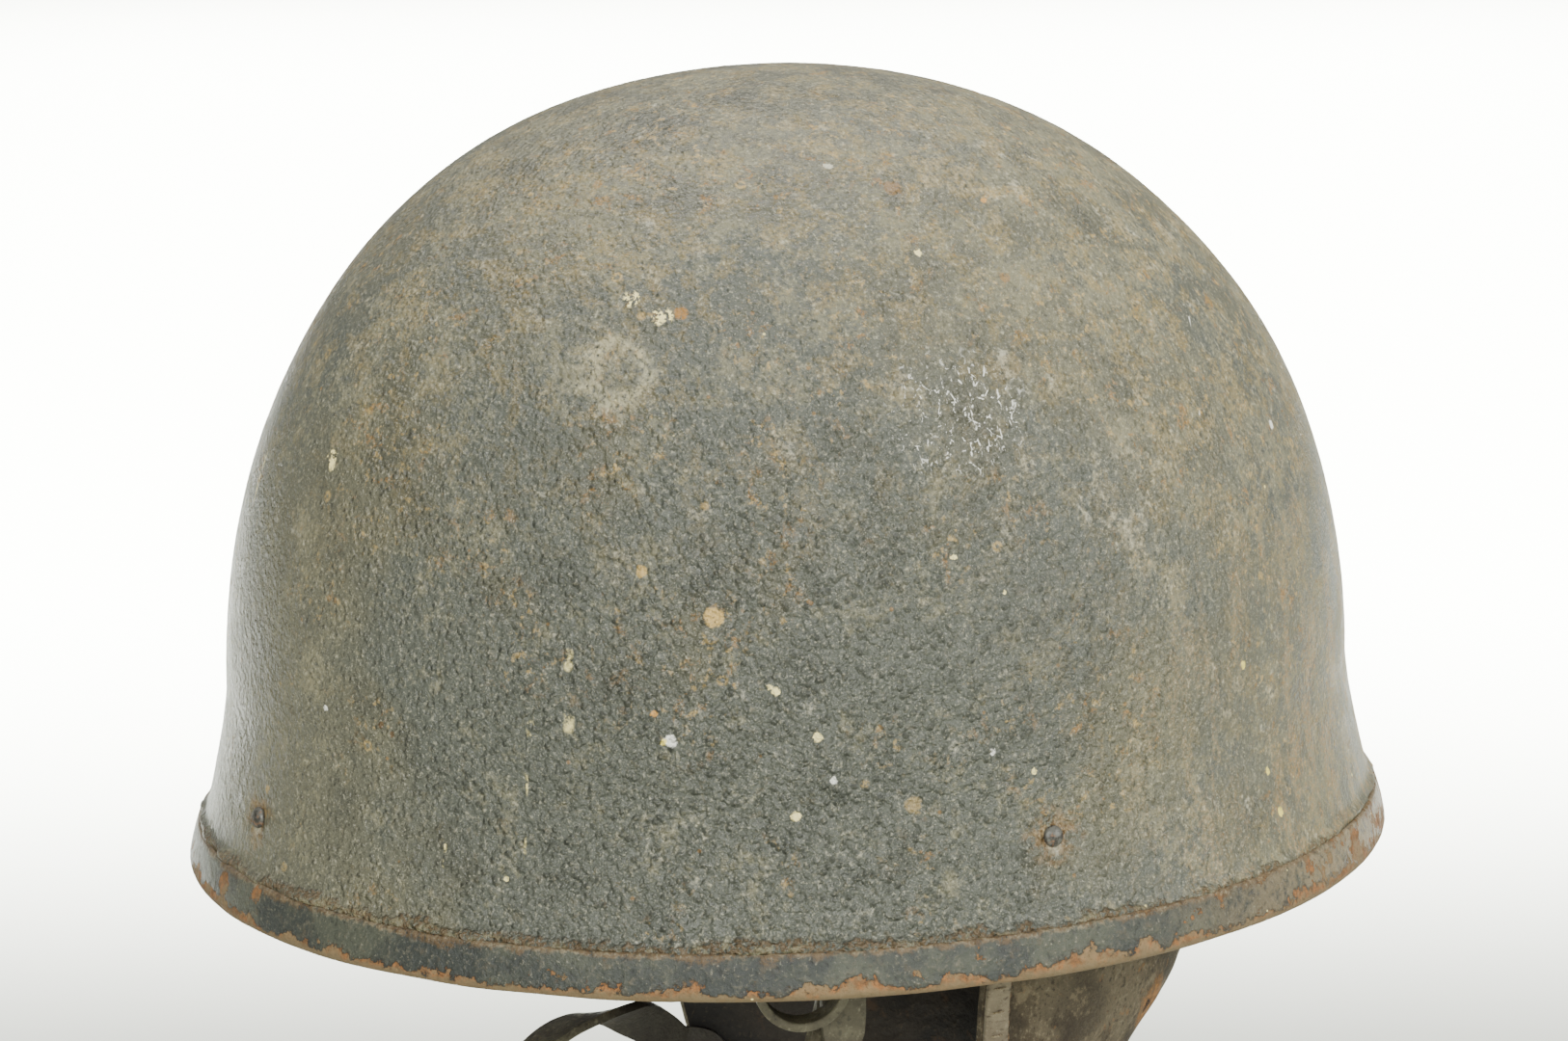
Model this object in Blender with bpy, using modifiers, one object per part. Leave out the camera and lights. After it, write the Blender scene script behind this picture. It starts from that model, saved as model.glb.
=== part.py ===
# A despatch rider's crash helmet: a pressed steel dome with a folded steel rim, an oval head band
# held by four riveted clips, a leather neck curtain round the back half, and a leather chin strap.
# Metres, +Z up, the face opening towards -Y, the wearer's left at +X.
# The origin is the centre of the rim's lower plane, where the head goes in.

import math

import bpy
from mathutils import Vector

# Steel shell, measured over the folded rim
RIM_HALF_WIDTH = 0.126
RIM_HALF_LENGTH = 0.140
CROWN_HEIGHT = 0.177
CROWN_FORWARD = 0.004
WAIST_HEIGHT = 0.041
SKIRT_FLARE = 0.0081
SHELL_THICKNESS = 0.0011

# Steel strip folded over the shell's edge
STRIP_THICKNESS = 0.0011
STRIP_OUTER_LEG = 0.0095
STRIP_INNER_LEG = 0.0075

# Head band, measured inside
HEAD_HALF_WIDTH = 0.0765
HEAD_HALF_LENGTH = 0.0965
BAND_THICKNESS = 0.003
BAND_HEIGHT = 0.032
BAND_BOTTOM = 0.004

# Rivets, the same small one throughout
RIVET_HEAD_RADIUS = 0.0024
RIVET_HEAD_HEIGHT = 0.0015
RIVET_SHANK_RADIUS = 0.0012
RIVET_FLAT_HEIGHT = 0.0007
SIDE_RIVET_HEIGHT = 0.029
FRONT_RIVET_HEIGHT = 0.023

# Clips between the shell and the head band
CLIP_WIDTH = 0.009
CLIP_THICKNESS = 0.0012
CLIP_LEG = 0.006
CLIP_BEND = 0.003
HOLE_CUTTER_LENGTH = 0.012

# Leather neck curtain
CURTAIN_THICKNESS = 0.0022
CURTAIN_LAP = 0.014
CURTAIN_DROP = 0.096
CURTAIN_EDGE = 0.004
FOLD_DEPTH = 0.0016
FOLD_HALF_WAVES = 7
FOLD_POWER = 1.5
HEM_WIDTH = 0.0055
HEM_THICKNESS = 0.0014

# Leather chin strap and its plain buckle
STRAP_WIDTH = 0.010
STRAP_THICKNESS = 0.0021
STRAP_FREE_END = 0.0215
STRAP_CLIMB = 0.010
CHIN_DROP = 0.111
BUCKLE_WIRE_RADIUS = 0.0011
BUCKLE_HEIGHT = 0.0095
BUCKLE_SIDE_ROOM = 0.0006
BUCKLE_SHIFT = -0.0020
BUCKLE_BEND = 1.2
TAB_THICKNESS = 0.0016
TAB_RISE = 0.014
TAB_HANG = 0.0045
TAB_WAIST = 0.8
TAB_CLOSED = 1.5

# Small leather keeper loop that hangs from the head band
KEEPER_RADIUS = 0.0109
KEEPER_DROP = 0.0244
KEEPER_WIDTH = 0.0068
KEEPER_THICKNESS = 0.0021

# The gap between touching pieces, and the play of a shank in its hole
SEAT_GAP = 0.0003
HOLE_PLAY = 0.0003

# The strap's sewn end clears the curve of the flap by this much
SEWN_GAP = 0.0010

# Shape of the dome and of the skirt below its waist
DOME_RISE_POWER = 2.10
DOME_SPREAD_POWER = 2.20
FLARE_POWER = 1.3

# Facets round each oval. Multiples of four put a flat facet at the front, back and sides.
SHELL_FACETS = 48
BAND_FACETS = 48
DOME_ROWS = 11
SKIRT_ROWS = 6
CURTAIN_COLUMNS = 38
CURTAIN_ROWS = 11
STRAP_ROWS = 62
FOLD_STEPS = 8
CORNER_STEPS = 3
ROUND_STEPS = 12

# The facets of the head band that the buckle tab and the keeper hang from, counted from +X
BUCKLE_FACET = -2
KEEPER_FACET = -3

# Neck curtain: at each share of its drop, the half width and the half length as shares of its size
# on the head band, and how far back its front edge stands as a share of the drop.
CURTAIN_SECTIONS = (
    {"depth": 0.00, "width": 1.000, "length": 1.000, "edge": 0.02},
    {"depth": 0.18, "width": 0.998, "length": 0.945, "edge": 0.00},
    {"depth": 0.32, "width": 0.996, "length": 0.880, "edge": -0.01},
    {"depth": 0.42, "width": 0.992, "length": 0.810, "edge": 0.00},
    {"depth": 0.52, "width": 0.986, "length": 0.720, "edge": 0.03},
    {"depth": 0.66, "width": 0.976, "length": 0.645, "edge": 0.07},
    {"depth": 0.80, "width": 0.966, "length": 0.615, "edge": 0.10},
    {"depth": 1.00, "width": 0.955, "length": 0.610, "edge": 0.17},
)

# Lower edge of the curtain: how much of the full drop it reaches from the nape to the front edge.
CURTAIN_LOWER_EDGE = (
    {"round": 0.00, "reach": 0.86},
    {"round": 0.30, "reach": 0.87},
    {"round": 0.55, "reach": 0.92},
    {"round": 0.75, "reach": 0.98},
    {"round": 0.86, "reach": 1.00},
    {"round": 0.94, "reach": 0.97},
    {"round": 1.00, "reach": 0.84},
)

# Route of the chin strap between the right flap and the buckle: across and along as shares of the
# head band's half sizes, down as a share of the chin drop, and the direction of the strap's width.
CHIN_ROUTE = (
    {"across": -0.972, "along": 0.085, "down": 0.672, "face": (0.00, 0.72, 0.70)},
    {"across": -0.958, "along": 0.025, "down": 0.625, "face": (0.05, 0.70, 0.70)},
    {"across": -0.940, "along": -0.040, "down": 0.588, "face": (0.30, 0.50, 0.80)},
    {"across": -0.915, "along": -0.115, "down": 0.562, "face": (0.80, 0.25, 0.50)},
    {"across": -0.890, "along": -0.207, "down": 0.554, "face": (1.00, 0.00, 0.15)},
    {"across": -0.865, "along": -0.300, "down": 0.568, "face": (1.00, 0.00, 0.00)},
    {"across": -0.835, "along": -0.385, "down": 0.604, "face": (1.00, 0.10, 0.00)},
    {"across": -0.775, "along": -0.480, "down": 0.668, "face": (0.90, 0.50, 0.00)},
    {"across": -0.655, "along": -0.585, "down": 0.780, "face": (0.55, 0.80, 0.00)},
    {"across": -0.450, "along": -0.675, "down": 0.905, "face": (0.20, 1.00, 0.00)},
    {"across": -0.150, "along": -0.720, "down": 0.990, "face": (0.00, 1.00, 0.00)},
    {"across": 0.180, "along": -0.705, "down": 0.985, "face": (0.00, 1.00, 0.00)},
    {"across": 0.480, "along": -0.630, "down": 0.875, "face": (0.00, 1.00, 0.00)},
    {"across": 0.700, "along": -0.515, "down": 0.690, "face": (-0.05, 1.00, 0.00)},
    {"across": 0.820, "along": -0.405, "down": 0.490, "face": (-0.15, 1.00, 0.00)},
    {"across": 0.880, "along": -0.325, "down": 0.300, "face": (-0.25, 1.00, 0.00)},
)

# Where the strap is sewn inside the right flap: round the curtain and down it, both as shares,
# and the step either side that its lean against the leather is read over.
STRAP_LEAN_STEP = 0.05
STRAP_SEWN = (
    {"round": 0.930, "depth": 0.900},
    {"round": 0.956, "depth": 0.855},
    {"round": 0.985, "depth": 0.800},
)

# Shape of the strap's pointed tip: how far down the free end, and the width there as a share
STRAP_TIP = (
    {"down": 0.45, "width": 1.00},
    {"down": 0.65, "width": 0.94},
    {"down": 0.83, "width": 0.66},
    {"down": 1.00, "width": 0.20},
)

PAINT = {"name": "worn_paint", "color": (0.115, 0.117, 0.100, 1.0), "roughness": 0.62, "metallic": 0.0}
STEEL = {"name": "rusty_paint", "color": (0.100, 0.090, 0.078, 1.0), "roughness": 0.68, "metallic": 0.0}
RIVET_STEEL = {"name": "rivet_steel", "color": (0.120, 0.125, 0.120, 1.0), "roughness": 0.45, "metallic": 0.6}
CLIP_STEEL = {"name": "clip_steel", "color": (0.160, 0.140, 0.120, 1.0), "roughness": 0.55, "metallic": 0.8}
CURTAIN_LEATHER = {"name": "curtain_leather", "color": (0.150, 0.128, 0.100, 1.0), "roughness": 0.85, "metallic": 0.0}
BAND_LEATHER = {"name": "band_leather", "color": (0.090, 0.060, 0.040, 1.0), "roughness": 0.70, "metallic": 0.0}
STRAP_LEATHER = {"name": "strap_leather", "color": (0.130, 0.112, 0.082, 1.0), "roughness": 0.72, "metallic": 0.0}


# Scene and material helpers

def clear_scene():
    for thing in list(bpy.data.objects):
        bpy.data.objects.remove(thing)


def make_collection(name):
    collection = bpy.data.collections.new(name)
    bpy.context.scene.collection.children.link(collection)
    return collection


def make_material(finish):
    material = bpy.data.materials.get(finish["name"])
    if material:
        return material
    material = bpy.data.materials.new(finish["name"])
    material.use_nodes = True
    shader = material.node_tree.nodes["Principled BSDF"]
    shader.inputs["Base Color"].default_value = finish["color"]
    shader.inputs["Roughness"].default_value = finish["roughness"]
    shader.inputs["Metallic"].default_value = finish["metallic"]
    return material


def add_piece(name, shape, finish, collection):
    piece = bpy.data.objects.new(name, shape)
    shape.materials.append(make_material(finish))
    collection.objects.link(piece)
    return piece


def add_cutter(name, place, direction, length, cutters):
    bpy.ops.mesh.primitive_cylinder_add(
        vertices=ROUND_STEPS, radius=RIVET_SHANK_RADIUS + HOLE_PLAY, depth=length
    )
    cutter = bpy.context.object
    cutter.name = name
    cutter.location = place
    cutter.rotation_mode = "QUATERNION"
    cutter.rotation_quaternion = direction.to_track_quat("Z", "Y")
    for owner in list(cutter.users_collection):
        owner.objects.unlink(cutter)
    cutters.objects.link(cutter)
    cutter.hide_render = True
    cutter.display_type = "WIRE"
    return cutter


def cut(piece, cutter):
    hole = piece.modifiers.new("hole_" + cutter.name, "BOOLEAN")
    hole.operation = "DIFFERENCE"
    hole.object = cutter
    hole.solver = "EXACT"


# Sheets: rows of points joined by faces, then given their thickness

def sheet_mesh(name, rows, wrap):
    # A first row of one point is a pole, joined to the next row by a fan.
    points = [point for row in rows for point in row]
    starts = []
    total = 0
    for row in rows:
        starts.append(total)
        total += len(row)
    faces = []
    for upper, lower in zip(range(len(rows) - 1), range(1, len(rows))):
        count = len(rows[lower])
        for column in range(count if wrap else count - 1):
            after = (column + 1) % count
            low = starts[lower] + column
            low_after = starts[lower] + after
            if len(rows[upper]) == 1:
                faces.append((starts[upper], low, low_after))
            else:
                faces.append((starts[upper] + column, low, low_after, starts[upper] + after))
    mesh = bpy.data.meshes.new(name)
    mesh.from_pydata(points, [], faces)
    mesh.shade_smooth()
    return mesh


def sheet_piece(name, rows, wrap, thickness, offset, finish, collection):
    piece = add_piece(name, sheet_mesh(name, rows, wrap), finish, collection)
    wall = piece.modifiers.new("wall", "SOLIDIFY")
    wall.thickness = thickness
    wall.offset = offset
    wall.use_even_offset = True
    return piece


def along_table(table, key, value, column):
    # Reads a column of a table between its rows.
    for before, after in zip(table, table[1:]):
        if value <= after[key]:
            share = (value - before[key]) / (after[key] - before[key])
            return before[column] + (after[column] - before[column]) * max(share, 0.0)
    return table[-1][column]


def smooth_route(points, count):
    # Points evenly shared out along a smooth curve through the given ones.
    ends = [points[0] * 2 - points[1], *points, points[-1] * 2 - points[-2]]
    route = []
    spans = len(points) - 1
    for step in range(count):
        place = step / (count - 1) * spans
        span = min(int(place), spans - 1)
        t = place - span
        p0, p1, p2, p3 = ends[span:span + 4]
        route.append(
            0.5 * ((2 * p1) + (p2 - p0) * t + (2 * p0 - 5 * p1 + 4 * p2 - p3) * t * t
                   + (3 * p1 - p0 - 3 * p2 + p3) * t * t * t)
        )
    return route


# Ovals: every round piece is drawn on facets whose flats face the front, back and sides

def oval_angle(step, facets):
    return 2 * math.pi * (step + 0.5) / facets


def oval_ring(half_width, half_length, height, facets, centre_y=0.0):
    return [
        Vector((half_width * math.cos(angle), centre_y + half_length * math.sin(angle), height))
        for angle in (oval_angle(step, facets) for step in range(facets))
    ]


def facet_frame(half_width, half_length, height, facets, facet):
    # The middle of a facet, its outward direction and its direction round the oval.
    before = oval_angle(facet - 1, facets)
    after = oval_angle(facet, facets)
    first = Vector((half_width * math.cos(before), half_length * math.sin(before), height))
    last = Vector((half_width * math.cos(after), half_length * math.sin(after), height))
    around = (last - first).normalized()
    outward = Vector((around.y, -around.x, 0.0))
    return (first + last) / 2, outward, around


# Steel shell and its rim

def fold_radius():
    # Middle line of the strip where it turns under the shell's edge
    return (SHELL_THICKNESS + 2 * SEAT_GAP + STRIP_THICKNESS) / 2


def edge_height():
    return fold_radius() + STRIP_THICKNESS / 2


def waist_half_sizes():
    inset = STRIP_THICKNESS + SEAT_GAP + SKIRT_FLARE
    return RIM_HALF_WIDTH - inset, RIM_HALF_LENGTH - inset


def skirt_spread(height):
    share = (WAIST_HEIGHT - height) / (WAIST_HEIGHT - edge_height())
    return SKIRT_FLARE * max(share, 0.0) ** FLARE_POWER


def skirt_slope(height):
    # How fast the skirt spreads for each metre down
    step = WAIST_HEIGHT / 100
    return (skirt_spread(height - step) - skirt_spread(height + step)) / (2 * step)


def skirt_half_sizes(height, out=0.0):
    half_width, half_length = waist_half_sizes()
    spread = skirt_spread(height) + out
    return half_width + spread, half_length + spread


def dome_ring(turn):
    # One ring of the dome: turn is 0 at the crown and a quarter turn at the waist.
    rise = math.cos(turn) ** (2 / DOME_RISE_POWER)
    spread = math.sin(turn) ** (2 / DOME_SPREAD_POWER)
    half_width, half_length = waist_half_sizes()
    height = WAIST_HEIGHT + (CROWN_HEIGHT - WAIST_HEIGHT) * rise
    forward = -CROWN_FORWARD * rise * rise
    return oval_ring(half_width * spread, half_length * spread, height, SHELL_FACETS, forward)


def make_shell(collection):
    rows = [[Vector((0.0, -CROWN_FORWARD, CROWN_HEIGHT))]]
    for row in range(1, DOME_ROWS + 1):
        rows.append(dome_ring(math.pi / 2 * row / DOME_ROWS))
    for row in range(1, SKIRT_ROWS + 1):
        height = WAIST_HEIGHT + (edge_height() - WAIST_HEIGHT) * row / SKIRT_ROWS
        rows.append(oval_ring(*skirt_half_sizes(height), height, SHELL_FACETS))
    return sheet_piece("shell", rows, True, SHELL_THICKNESS, -1.0, PAINT, collection)


def make_rim_strip(collection):
    # A leg down the outside, a half circle under the shell's edge, and a leg up the inside.
    outside = SEAT_GAP + STRIP_THICKNESS / 2
    middle = outside - fold_radius()
    top = edge_height() + STRIP_OUTER_LEG - fold_radius()
    inner_top = edge_height() + STRIP_INNER_LEG - fold_radius()
    rows = []
    for height in (top, (top + edge_height()) / 2, edge_height()):
        rows.append(oval_ring(*skirt_half_sizes(height, outside), height, SHELL_FACETS))
    for step in range(1, FOLD_STEPS // 2):
        turn = math.pi * step / (FOLD_STEPS // 2)
        height = edge_height() - fold_radius() * math.sin(turn)
        half_sizes = skirt_half_sizes(edge_height(), middle + fold_radius() * math.cos(turn))
        rows.append(oval_ring(*half_sizes, height, SHELL_FACETS))
    for height in (edge_height(), inner_top):
        wall = SHELL_THICKNESS * math.hypot(1.0, skirt_slope(height))
        inside = -(wall + SEAT_GAP + STRIP_THICKNESS / 2)
        rows.append(oval_ring(*skirt_half_sizes(height, inside), height, SHELL_FACETS))
    return sheet_piece("rim_band", rows, True, STRIP_THICKNESS, 0.0, STEEL, collection)


# Head band on its clips

def band_outer_half_sizes():
    return HEAD_HALF_WIDTH + BAND_THICKNESS, HEAD_HALF_LENGTH + BAND_THICKNESS


def make_head_band(collection):
    half_width = HEAD_HALF_WIDTH + BAND_THICKNESS / 2
    half_length = HEAD_HALF_LENGTH + BAND_THICKNESS / 2
    rows = [
        oval_ring(half_width, half_length, BAND_BOTTOM + BAND_HEIGHT * share, BAND_FACETS)
        for share in (1.0, 0.5, 0.0)
    ]
    return sheet_piece("head_band", rows, True, BAND_THICKNESS, 0.0, BAND_LEATHER, collection)


def rivet_mesh(name, grip):
    # A domed head above the seat and a flat one below it, on a shank through the pieces held.
    outer_seat = SEAT_GAP
    inner_seat = -(grip + SEAT_GAP)
    profile = []
    for step in range(5):
        turn = math.pi / 2 * step / 4
        radius = RIVET_HEAD_RADIUS * math.sin(turn)
        profile.append((radius, 0.0, outer_seat + RIVET_HEAD_HEIGHT * math.cos(turn)))
    profile.append((RIVET_SHANK_RADIUS, 0.0, outer_seat))
    profile.append((RIVET_SHANK_RADIUS, 0.0, inner_seat))
    profile.append((RIVET_HEAD_RADIUS, 0.0, inner_seat))
    profile.append((RIVET_HEAD_RADIUS, 0.0, inner_seat - RIVET_FLAT_HEIGHT))
    profile.append((0.0, 0.0, inner_seat - RIVET_FLAT_HEIGHT))
    mesh = bpy.data.meshes.new(name)
    mesh.from_pydata(profile, [(i, i + 1) for i in range(len(profile) - 1)], [])
    return mesh


def make_rivet(name, place, direction, grip, collection):
    rivet = add_piece(name, rivet_mesh(name, grip), RIVET_STEEL, collection)
    turned = rivet.modifiers.new("turned", "SCREW")
    turned.steps = ROUND_STEPS
    turned.render_steps = ROUND_STEPS
    turned.use_merge_vertices = True
    turned.merge_threshold = 0.00002
    rivet.location = place
    rivet.rotation_mode = "QUATERNION"
    rivet.rotation_quaternion = direction.to_track_quat("Z", "Y")
    return rivet


def make_clip(side, facet_share, rivet_height, shell, head_band, collection, cutters):
    # One strip: a leg on the shell's inside, a run inwards over the band's clip leg, and that leg.
    shell_facet = round(SHELL_FACETS * facet_share)
    band_facet = round(BAND_FACETS * facet_share)
    seat, outward, around = facet_frame(
        *skirt_half_sizes(rivet_height), rivet_height, SHELL_FACETS, shell_facet
    )
    slope = skirt_slope(rivet_height)
    normal = (outward + Vector((0.0, 0.0, slope))).normalized()
    up_wall = (Vector((0.0, 0.0, 1.0)) - outward * slope).normalized()
    band_seat, _, _ = facet_frame(*band_outer_half_sizes(), rivet_height, BAND_FACETS, band_facet)

    shell_leg = seat - normal * (SHELL_THICKNESS + SEAT_GAP + CLIP_THICKNESS / 2)
    band_leg = band_seat + outward * (SEAT_GAP + CLIP_THICKNESS / 2)
    up = Vector((0.0, 0.0, 1.0))
    path = [
        shell_leg - up_wall * CLIP_LEG,
        shell_leg,
        shell_leg + up_wall * CLIP_LEG,
        shell_leg + up_wall * (CLIP_LEG + CLIP_BEND) - outward * CLIP_BEND,
        band_leg + up * (CLIP_LEG + CLIP_BEND) + outward * CLIP_BEND,
        band_leg + up * CLIP_LEG,
        band_leg,
        band_leg - up * CLIP_LEG,
    ]
    rows = [[point - around * CLIP_WIDTH / 2, point + around * CLIP_WIDTH / 2] for point in path]
    clip = sheet_piece("clip_" + side, rows, False, CLIP_THICKNESS, 0.0, CLIP_STEEL, collection)

    shell_grip = SHELL_THICKNESS + SEAT_GAP + CLIP_THICKNESS
    make_rivet("shell_rivet_" + side, seat, normal, shell_grip, collection)
    shell_cutter = add_cutter("shell_hole_" + side, seat, normal, HOLE_CUTTER_LENGTH, cutters)
    cut(shell, shell_cutter)
    cut(clip, shell_cutter)

    band_grip = CLIP_THICKNESS + SEAT_GAP + BAND_THICKNESS
    band_face = band_leg + outward * CLIP_THICKNESS / 2
    make_rivet("band_rivet_" + side, band_face, outward, band_grip, collection)
    band_cutter = add_cutter("band_hole_" + side, band_face, outward, HOLE_CUTTER_LENGTH, cutters)
    cut(head_band, band_cutter)
    cut(clip, band_cutter)


# Leather neck curtain

def curtain_top():
    return BAND_BOTTOM + CURTAIN_LAP


def curtain_half_sizes():
    half_width, half_length = band_outer_half_sizes()
    inset = SEAT_GAP + CURTAIN_THICKNESS / 2
    return half_width + inset, half_length + inset


def curtain_point(around, depth_share, out=0.0):
    # around is 1 at the left front edge, 0 at the nape and -1 at the right front edge.
    # depth_share is 0 at the head band's lower edge and 1 at the full drop; above 0 it is on the band.
    reach = max(depth_share, 0.0)
    if depth_share < 0:
        height = BAND_BOTTOM - depth_share * CURTAIN_LAP
    else:
        height = BAND_BOTTOM - depth_share * (CURTAIN_DROP + BAND_BOTTOM)
    half_width, half_length = curtain_half_sizes()
    half_width *= along_table(CURTAIN_SECTIONS, "depth", reach, "width")
    half_length *= along_table(CURTAIN_SECTIONS, "depth", reach, "length")
    edge_back = CURTAIN_EDGE + along_table(CURTAIN_SECTIONS, "depth", reach, "edge") * CURTAIN_DROP
    edge_angle = math.asin(edge_back / half_length)
    angle = math.pi / 2 - around * (math.pi / 2 - edge_angle)
    folds = math.cos(FOLD_HALF_WAVES * math.pi * around) * (1 - around * around) * reach ** FOLD_POWER
    half_width += FOLD_DEPTH * folds + out
    half_length += FOLD_DEPTH * folds + out
    return Vector((half_width * math.cos(angle), half_length * math.sin(angle), height))


def curtain_rows(arounds, out=0.0, row_shares=None):
    rows = []
    shares = row_shares or [row / CURTAIN_ROWS for row in range(CURTAIN_ROWS + 1)]
    rows.append([curtain_point(around, -1.0, out) for around in arounds])
    for share in shares:
        rows.append([
            curtain_point(
                around,
                share * along_table(CURTAIN_LOWER_EDGE, "round", abs(around), "reach"),
                out,
            )
            for around in arounds
        ])
    return rows


def make_curtain(collection):
    arounds = [1 - 2 * column / CURTAIN_COLUMNS for column in range(CURTAIN_COLUMNS + 1)]
    rows = curtain_rows(arounds)
    return sheet_piece(
        "neck_curtain", rows, False, CURTAIN_THICKNESS, 0.0, CURTAIN_LEATHER, collection
    )


def make_hem(side, sign, collection):
    # The turned edge, as a strip on the outside of the flap along its front edge.
    out = CURTAIN_THICKNESS / 2 + SEAT_GAP + HEM_THICKNESS / 2
    half_width, half_length = curtain_half_sizes()
    width_share = HEM_WIDTH / (math.pi / 2 * half_length)
    arounds = [1.0, 1.0 - width_share] if sign > 0 else [-1.0 + width_share, -1.0]
    rows = curtain_rows(arounds, out)[1:-1]
    return sheet_piece("hem_" + side, rows, False, HEM_THICKNESS, 0.0, CURTAIN_LEATHER, collection)


# Chin strap, buckle and keeper

def ribbon_piece(name, path, faces, widths, thickness, finish, collection):
    # A flat strap along a path. faces gives the direction of its width at each point.
    rows = []
    for index, point in enumerate(path):
        before = path[max(index - 1, 0)]
        after = path[min(index + 1, len(path) - 1)]
        run = (after - before).normalized()
        across = faces[index] - run * faces[index].dot(run)
        half = across.normalized() * widths[index] / 2
        rows.append([point - half, point + half])
    return sheet_piece(name, rows, False, thickness, 0.0, finish, collection)


def half_turn(centre, start, lift, radius):
    # Points of a half circle from one side of centre over the top to the other.
    return [
        centre + start * radius * math.cos(turn) + lift * radius * math.sin(turn)
        for turn in (math.pi * step / FOLD_STEPS for step in range(FOLD_STEPS + 1))
    ]


def buckle_places():
    # Both bars of the buckle, with the directions inwards from the band and round it.
    face, outward, around = facet_frame(
        HEAD_HALF_WIDTH, HEAD_HALF_LENGTH, BAND_BOTTOM, BAND_FACETS, BUCKLE_FACET
    )
    inward = -outward
    hang = SEAT_GAP + TAB_THICKNESS + SEAT_GAP + BUCKLE_WIRE_RADIUS
    upper = face + around * BUCKLE_SHIFT + inward * hang - Vector((0.0, 0.0, TAB_HANG))
    lower = upper - Vector((0.0, 0.0, BUCKLE_HEIGHT))
    return upper, lower, inward, around


def make_buckle_tab(collection):
    # Folded round the buckle's upper bar, with both ends sewn to the inside of the head band.
    upper, _, inward, around = buckle_places()
    up = Vector((0.0, 0.0, 1.0))
    radius = BUCKLE_WIRE_RADIUS + SEAT_GAP + TAB_THICKNESS / 2
    bottom = half_turn(upper, -inward, -up, radius)
    outer_foot = bottom[0]
    rise = TAB_HANG + TAB_RISE
    pinch = TAB_THICKNESS + SEAT_GAP
    inner = outer_foot + inward * pinch
    path = [
        outer_foot + up * rise,
        outer_foot + up * rise / 2,
        *bottom,
        inner + inward * (radius - pinch / 2) / 2 + up * TAB_HANG * TAB_WAIST,
        inner + up * TAB_HANG * TAB_CLOSED,
        inner + up * rise,
    ]
    faces = [around] * len(path)
    widths = [STRAP_WIDTH] * len(path)
    return ribbon_piece("buckle_tab", path, faces, widths, TAB_THICKNESS, STRAP_LEATHER, collection)


def make_buckle(collection):
    # A plain wire frame with rounded corners, round its two bars.
    upper, lower, _, around = buckle_places()
    up = Vector((0.0, 0.0, 1.0))
    middle = (upper + lower) / 2
    bend = BUCKLE_WIRE_RADIUS * BUCKLE_BEND
    half_across = STRAP_WIDTH / 2 + BUCKLE_SIDE_ROOM + BUCKLE_WIRE_RADIUS
    half_up = (upper - lower).length / 2
    frame = []
    for corner, (side, top) in enumerate(((1, 1), (-1, 1), (-1, -1), (1, -1))):
        centre = middle + around * side * (half_across - bend) + up * top * (half_up - bend)
        for step in range(CORNER_STEPS + 1):
            turn = math.pi / 2 * (corner + step / CORNER_STEPS)
            frame.append(centre + around * bend * math.cos(turn) + up * bend * math.sin(turn))
    curve = bpy.data.curves.new("strap_buckle", "CURVE")
    curve.dimensions = "3D"
    curve.bevel_depth = BUCKLE_WIRE_RADIUS
    curve.bevel_resolution = 1
    spline = curve.splines.new("POLY")
    spline.points.add(len(frame) - 1)
    for point, place in zip(spline.points, frame):
        point.co = (*place, 1.0)
    spline.use_cyclic_u = True
    return add_piece("strap_buckle", curve, CLIP_STEEL, collection)


def make_chin_strap(collection):
    up = Vector((0.0, 0.0, 1.0))
    inside = -(CURTAIN_THICKNESS / 2 + SEWN_GAP + STRAP_THICKNESS / 2)
    sewn = [curtain_point(-row["round"], row["depth"], inside) for row in STRAP_SEWN]
    lean = [
        curtain_point(-row["round"], row["depth"] - STRAP_LEAN_STEP)
        - curtain_point(-row["round"], row["depth"] + STRAP_LEAN_STEP)
        for row in STRAP_SEWN
    ]
    free = [
        Vector((
            row["across"] * HEAD_HALF_WIDTH,
            row["along"] * HEAD_HALF_LENGTH,
            -row["down"] * CHIN_DROP,
        ))
        for row in CHIN_ROUTE
    ]
    _, lower, inward, around = buckle_places()
    radius = BUCKLE_WIRE_RADIUS + SEAT_GAP + STRAP_THICKNESS / 2
    fold = half_turn(lower, inward, up, radius)
    climb = fold[0] - up * STRAP_CLIMB
    tip = [fold[-1] - up * STRAP_FREE_END * row["down"] for row in STRAP_TIP]

    spine = [*sewn, *free, climb, fold[0]]
    spine_faces = [direction.normalized() for direction in lean]
    spine_faces += [Vector(row["face"]).normalized() for row in CHIN_ROUTE]
    spine_faces += [around, around]
    path = smooth_route(spine, STRAP_ROWS)
    faces = smooth_route(spine_faces, STRAP_ROWS)
    path += fold[1:] + tip
    faces += [around] * (len(path) - len(faces))
    widths = [STRAP_WIDTH] * (len(path) - len(tip))
    widths += [STRAP_WIDTH * row["width"] for row in STRAP_TIP]
    return ribbon_piece("chin_strap", path, faces, widths, STRAP_THICKNESS, STRAP_LEATHER, collection)


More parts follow.
